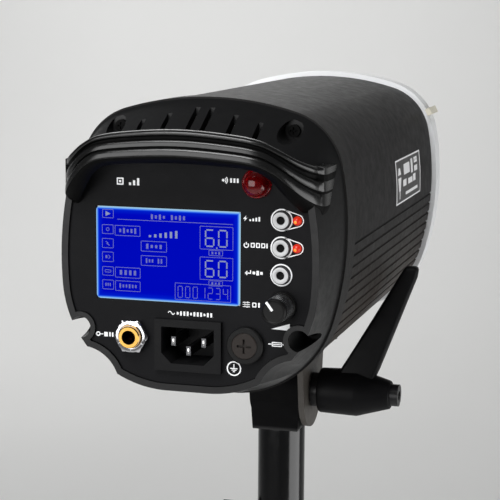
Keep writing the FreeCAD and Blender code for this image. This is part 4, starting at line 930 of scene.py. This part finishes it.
def make_blade_highlights():
    """Painted highlights: bright patches on the ends of the inlet's blades."""
    low, high = extent("inlet_pins")
    shape = Shape("painted_blade_highlight")
    across, top, foot = (low.x + high.x) / 2, high.z - 2, low.z + 2
    for x, z in ((low.x + 1, top), (high.x - 1, top), (across, foot)):
        rows = []
        for lift, inset in ((0.0, 0.0), (0.12, 0.04), (0.2, 0.18)):
            rows.append([head(a, low.y - lift, c)
                         for a, c in rounded_box(x, z, 1.0 - 2 * inset, 2.2 - 2 * inset, 0.25, 4)])
        shape.grid(rows, "painted_blade_highlight", closed=True)
        shape.add(rows[-1], [range(len(rows[-1]))], "painted_blade_highlight")
    shape.build("blade_highlights", "head")


def make_cell():
    """A red moulded lens over a faceted reflector."""
    cell = middle("cell_dome")
    tip = -extent("cell_dome")[0].y
    centre = head(cell.x, 0, cell.z)
    lens = Shape("dome_red")
    profile = [(0.02, 6.5), (0.9, 6.5), (1.3, 6.35), (1.55, 5.95), (1.6, 5.75)]
    for step in range(1, 13):
        angle = pi / 2 * step / 12
        profile.append((1.6 + (tip - 1.6) * sin(angle), max(5.7 * cos(angle), 0.001)))
    lens.lathe(centre, OUT, profile, "dome_red", 72)
    inner = []
    for step in range(8, -1, -1):
        angle = pi / 2 * step / 8
        inner.append((1.4 + (tip - 2.4) * sin(angle), max(4.8 * cos(angle), 0.001)))
    lens.lathe(centre, OUT, [*inner, (0.02, 4.8), (0.02, 6.5)], "dome_red", 72)
    lens.build("cell_lens", "head", ["cell_dome"], sharp=40)
    facets = Shape("facet_red")
    facets.lathe(centre, OUT, [(0.3, 4.7), (1.6, 4.3), (3.0, 3.0), (3.9, 1.4), (4.1, 0.001)],
                 "facet_red", 9, lambda angle, along: 0.05 * sin(3 * angle + along))
    facets.build("cell_reflector", "head", sharp=5)


# ---------------------------------------------------------------- badge, lever and front lamps

# half the housing's width, the radius of its side, and the height where it is widest
SHELL_HALF, SIDE_RADIUS, WIDEST = 63.5, 150, 21


def on_side(y, z, lift):
    """A point on the housing's right side, lifted outwards."""
    reach = SHELL_HALF - SIDE_RADIUS + sqrt(SIDE_RADIUS ** 2 - (z - WIDEST) ** 2)
    return head(reach + lift, y, z)


def make_badge():
    """A plain printed badge: a frame with a stylised lamp and some bars."""
    marks = Marks(on_side, 0.08)
    y0, y1, z0, z1 = 147, 215, 17.5, 40.5

    def strip(near, far, foot, top):
        """A filled rectangle cut into steps 2 mm high, so that it follows the curved side."""
        steps = max(2, round((top - foot) / 2))
        for index in range(steps):
            low = foot + (top - foot) * index / steps
            high = foot + (top - foot) * (index + 1) / steps
            marks.fill([(near, low), (far, low), (far, high), (near, high)])

    strip(y0, y0 + 1.6, z0, z1)
    strip(y1 - 1.6, y1, z0, z1)
    strip(y0 + 1.6, y1 - 1.6, z0, z0 + 0.8)
    strip(y0 + 1.6, y1 - 1.6, z1 - 0.8, z1)
    # a lamp on a stand
    marks.fill([(154, 24), (158, 24), (160, 31), (152, 31)])
    marks.fill([(152, 32.5), (160, 32.5), (158, 36), (154, 36)])
    marks.fill([(155.2, 20), (156.8, 20), (156.8, 24), (155.2, 24)])
    low_bars = 25.6
    for start, width, tall in ((165, 9, 3.4), (179, 12, 3.0), (193, 7, 3.8)):
        marks.fill([(start, low_bars), (start + width, low_bars),
                    (start + width, low_bars + tall), (start, low_bars + tall)])
    for bar in ((168, 184, 31.5, 37), (188, 193, 30.5, 38), (197, 206, 30.5, 33.5),
                (197, 206, 35, 38), (172, 206, 20.6, 22.2)):
        strip(*bar)
    shape = Shape("badge_white", "badge_black")
    marks.into(shape, "badge_white")
    plate = [[on_side(y, z0 + (z1 - z0) * i / 12, 0.03) for y in (y0, y1)] for i in range(13)]
    shape.grid(plate, "badge_black")
    shape.build("side_badge", "head")


def make_lever():
    """The clamping lever: a waisted hub with a slim arm that widens towards its foot."""
    axis = middle("tilt_washer")

    def at(x, y, z):
        return head(x, axis.y + y, axis.z + z)

    shape = Shape("lever_plastic")
    start, end = 21.5, 60
    hub = [(start, 6.2), (start, 11.1), (start + 0.35, 11.7), (start + 1, 12.0), (30, 12.25),
           (41.6, 12.6), (42.2, 12.55), (50, 10.3), (end - 1, 7.7), (end - 0.35, 7.45), (end, 7.0),
           (end, 6.2)]
    shape.lathe(at(0, 0, 0), (1, 0, 0), hub, "lever_plastic", 96)
    shape.lathe(at(0, 0, 0), (1, 0, 0), [(end, 6.2), (end - 3.2, 6.15)], "lever_plastic", 96)
    # the arm's rounded sections from foot to tip: height, left edge, right edge and half depth
    sections = [(6.6, 30.0, 50.5, 5.0), (9.5, 31.5, 51.6, 5.0), (13, 33.2, 53.2, 4.9),
                (26, 41.0, 58.2, 4.6), (40, 49.2, 63.5, 4.3), (54, 57.3, 68.8, 4.0),
                (64, 63.1, 72.6, 3.8), (68.0, 65.5, 73.2, 3.5), (69.3, 66.3, 72.8, 2.9),
                (69.7, 67.2, 72.0, 2.2)]
    rows = []
    for rise, left, right, half in sections:
        outline = rounded_box((left + right) / 2, 0, right - left, 2 * half,
                              min(2.2, half * 0.55), 5)
        rows.append([at(x, y, rise) for x, y in outline])
    shape.grid(rows, "lever_plastic", closed=True)
    for row in (rows[0], rows[-1]):
        shape.add(row, [range(len(row))], "lever_plastic")
    shape.build("clamp_lever", "lever", ["tilt_lever"], sharp=38)


def make_filament():
    """The filament in the modelling lamp: a coil on two wires."""
    optic = middle("reflector_mount")
    shape = Shape("filament")
    half, level, radius, wire, turns, steps = 8, 258, 1.1, 0.22, 15, 180
    coil = []
    for step in range(steps + 1):
        angle = 2 * pi * turns * step / steps
        coil.append(head(optic.x - half + 2 * half * step / steps, level + radius * sin(angle),
                         optic.z + radius * cos(angle)))
    rows = []
    for index, point in enumerate(coil):
        after = coil[min(index + 1, len(coil) - 1)]
        before = coil[max(index - 1, 0)]
        along = (after - before).normalized()
        side = along.orthogonal().normalized()
        other = along.cross(side)
        rows.append([point + (side * cos(a) + other * sin(a)) * wire * MM
                     for a in (0, pi / 2, pi, 3 * pi / 2)])
    shape.grid(rows, "filament", closed=True)
    for sign in (-1, 1):
        shape.lathe(head(optic.x + sign * half, 0, optic.z), (0, 1, 0),
                    [(236, 0.001), (236, 0.35), (level, 0.35), (level + 0.2, 0.001)],
                    "filament", 10)
    shape.build("lamp_filament", "head")


# ---------------------------------------------------------------- stage, lights and camera

def make_stage():
    """A pale paper sweep: a floor that curves up into a wall."""
    floor_z, half_width, wall_y, bend, near_y, top = -0.75, 7.0, 5.0, 1.4, -7.0, 4.0
    profile = [(near_y, floor_z), (0.0, floor_z), (wall_y - bend, floor_z)]
    for step in range(1, 17):
        angle = pi / 2 * step / 16
        profile.append((wall_y - bend + bend * sin(angle),
                        floor_z + bend * (1 - cos(angle))))
    profile.append((wall_y, top))
    vertices = [(x, y, z) for y, z in profile for x in (-half_width, half_width)]
    faces = [(2 * i, 2 * i + 1, 2 * i + 3, 2 * i + 2) for i in range(len(profile) - 1)]
    mesh = bpy.data.meshes.new("floor")
    mesh.from_pydata(vertices, [], faces)
    mesh.shade_smooth()
    floor = bpy.data.objects.new("floor", mesh)
    bpy.context.scene.collection.objects.link(floor)
    nodes = Nodes()
    nodes.material.name = "floor_paper"
    drift = nodes.noise(0.8, detail=2)
    nodes.feed("Base Color", nodes.shades(drift, [(0.3, (0.79, 0.79, 0.78)),
                                                  (0.7, (0.82, 0.82, 0.81))]))
    nodes.feed("Normal", nodes.relief(nodes.noise(900), 0.1))
    nodes.set(Roughness=0.95, Specular_IOR_Level=0.1)
    mesh.materials.append(nodes.material)


def make_lights():
    # name, place, target, width, height, power
    softboxes = [
        ("right_box", (1.3, -0.12, -0.25), (0, 0, 0.08), 1.45, 1.0, 13.5),
        ("front_left_box", (-0.55, -1.35, 0.3), (0, -0.1, 0.18), 1.4, 1.0, 15),
        ("top_box", (-0.15, -0.9, 1.25), (0, 0.1, 0.2), 0.8, 0.6, 17),
        ("front_fill", (-0.9, 2.1, 1.3), (0, 0.1, 0.15), 1.2, 0.8, 5),
        ("backdrop_left", (-1.8, 2.9, 2.3), (-1.8, 4.8, 0.3), 2.0, 1.6, 68),
        ("backdrop_right", (1.7, 2.9, 2.3), (1.2, 4.8, 0.3), 2.0, 1.6, 6),
    ]
    for name, place, target, width, height, power in softboxes:
        data = bpy.data.lights.new(name, "AREA")
        data.shape = "RECTANGLE"
        data.size = width
        data.size_y = height
        data.energy = power
        lamp = bpy.data.objects.new(name, data)
        lamp.location = place
        lamp.rotation_euler = (Vector(target) - lamp.location).to_track_quat("-Z", "Y").to_euler()
        bpy.context.scene.collection.objects.link(lamp)
    world = bpy.data.worlds.new("studio")
    world.use_nodes = True
    background = world.node_tree.nodes["Background"]
    background.inputs["Color"].default_value = (0.9, 0.92, 0.95, 1)
    background.inputs["Strength"].default_value = 0.07
    bpy.context.scene.world = world
    bpy.context.scene.view_settings.view_transform = "Standard"


def make_camera():
    """Behind the head, to its right and a little above it, with a long lens."""
    yaw, pitch, roll = radians(16.15), radians(9.02), radians(0.37)
    data = bpy.data.cameras.new("camera")
    data.lens = 115.2
    data.sensor_width = 36
    camera = bpy.data.objects.new("camera", data)
    camera.location = head(217.84, -655.33, 123.45)
    forward = Vector((-sin(yaw) * cos(pitch), cos(yaw) * cos(pitch),
                      -sin(pitch)))
    right = Vector((cos(yaw), sin(yaw), 0))
    above = right.cross(forward)
    tilted_right = cos(roll) * right + sin(roll) * above
    tilted_above = cos(roll) * above - sin(roll) * right
    turn = Matrix((tilted_right, tilted_above, -forward)).transposed()
    camera.rotation_euler = turn.to_euler()
    bpy.context.scene.collection.objects.link(camera)
    bpy.context.scene.camera = camera


make_camera()
make_lights()
make_stage()
dress_nodes()
make_handle()
make_display()
make_printing()
make_buttons()
make_lamp_cores()
make_mode_knob()
make_sync_socket()
make_blade_highlights()
make_cell()
make_badge()
make_lever()
make_filament()
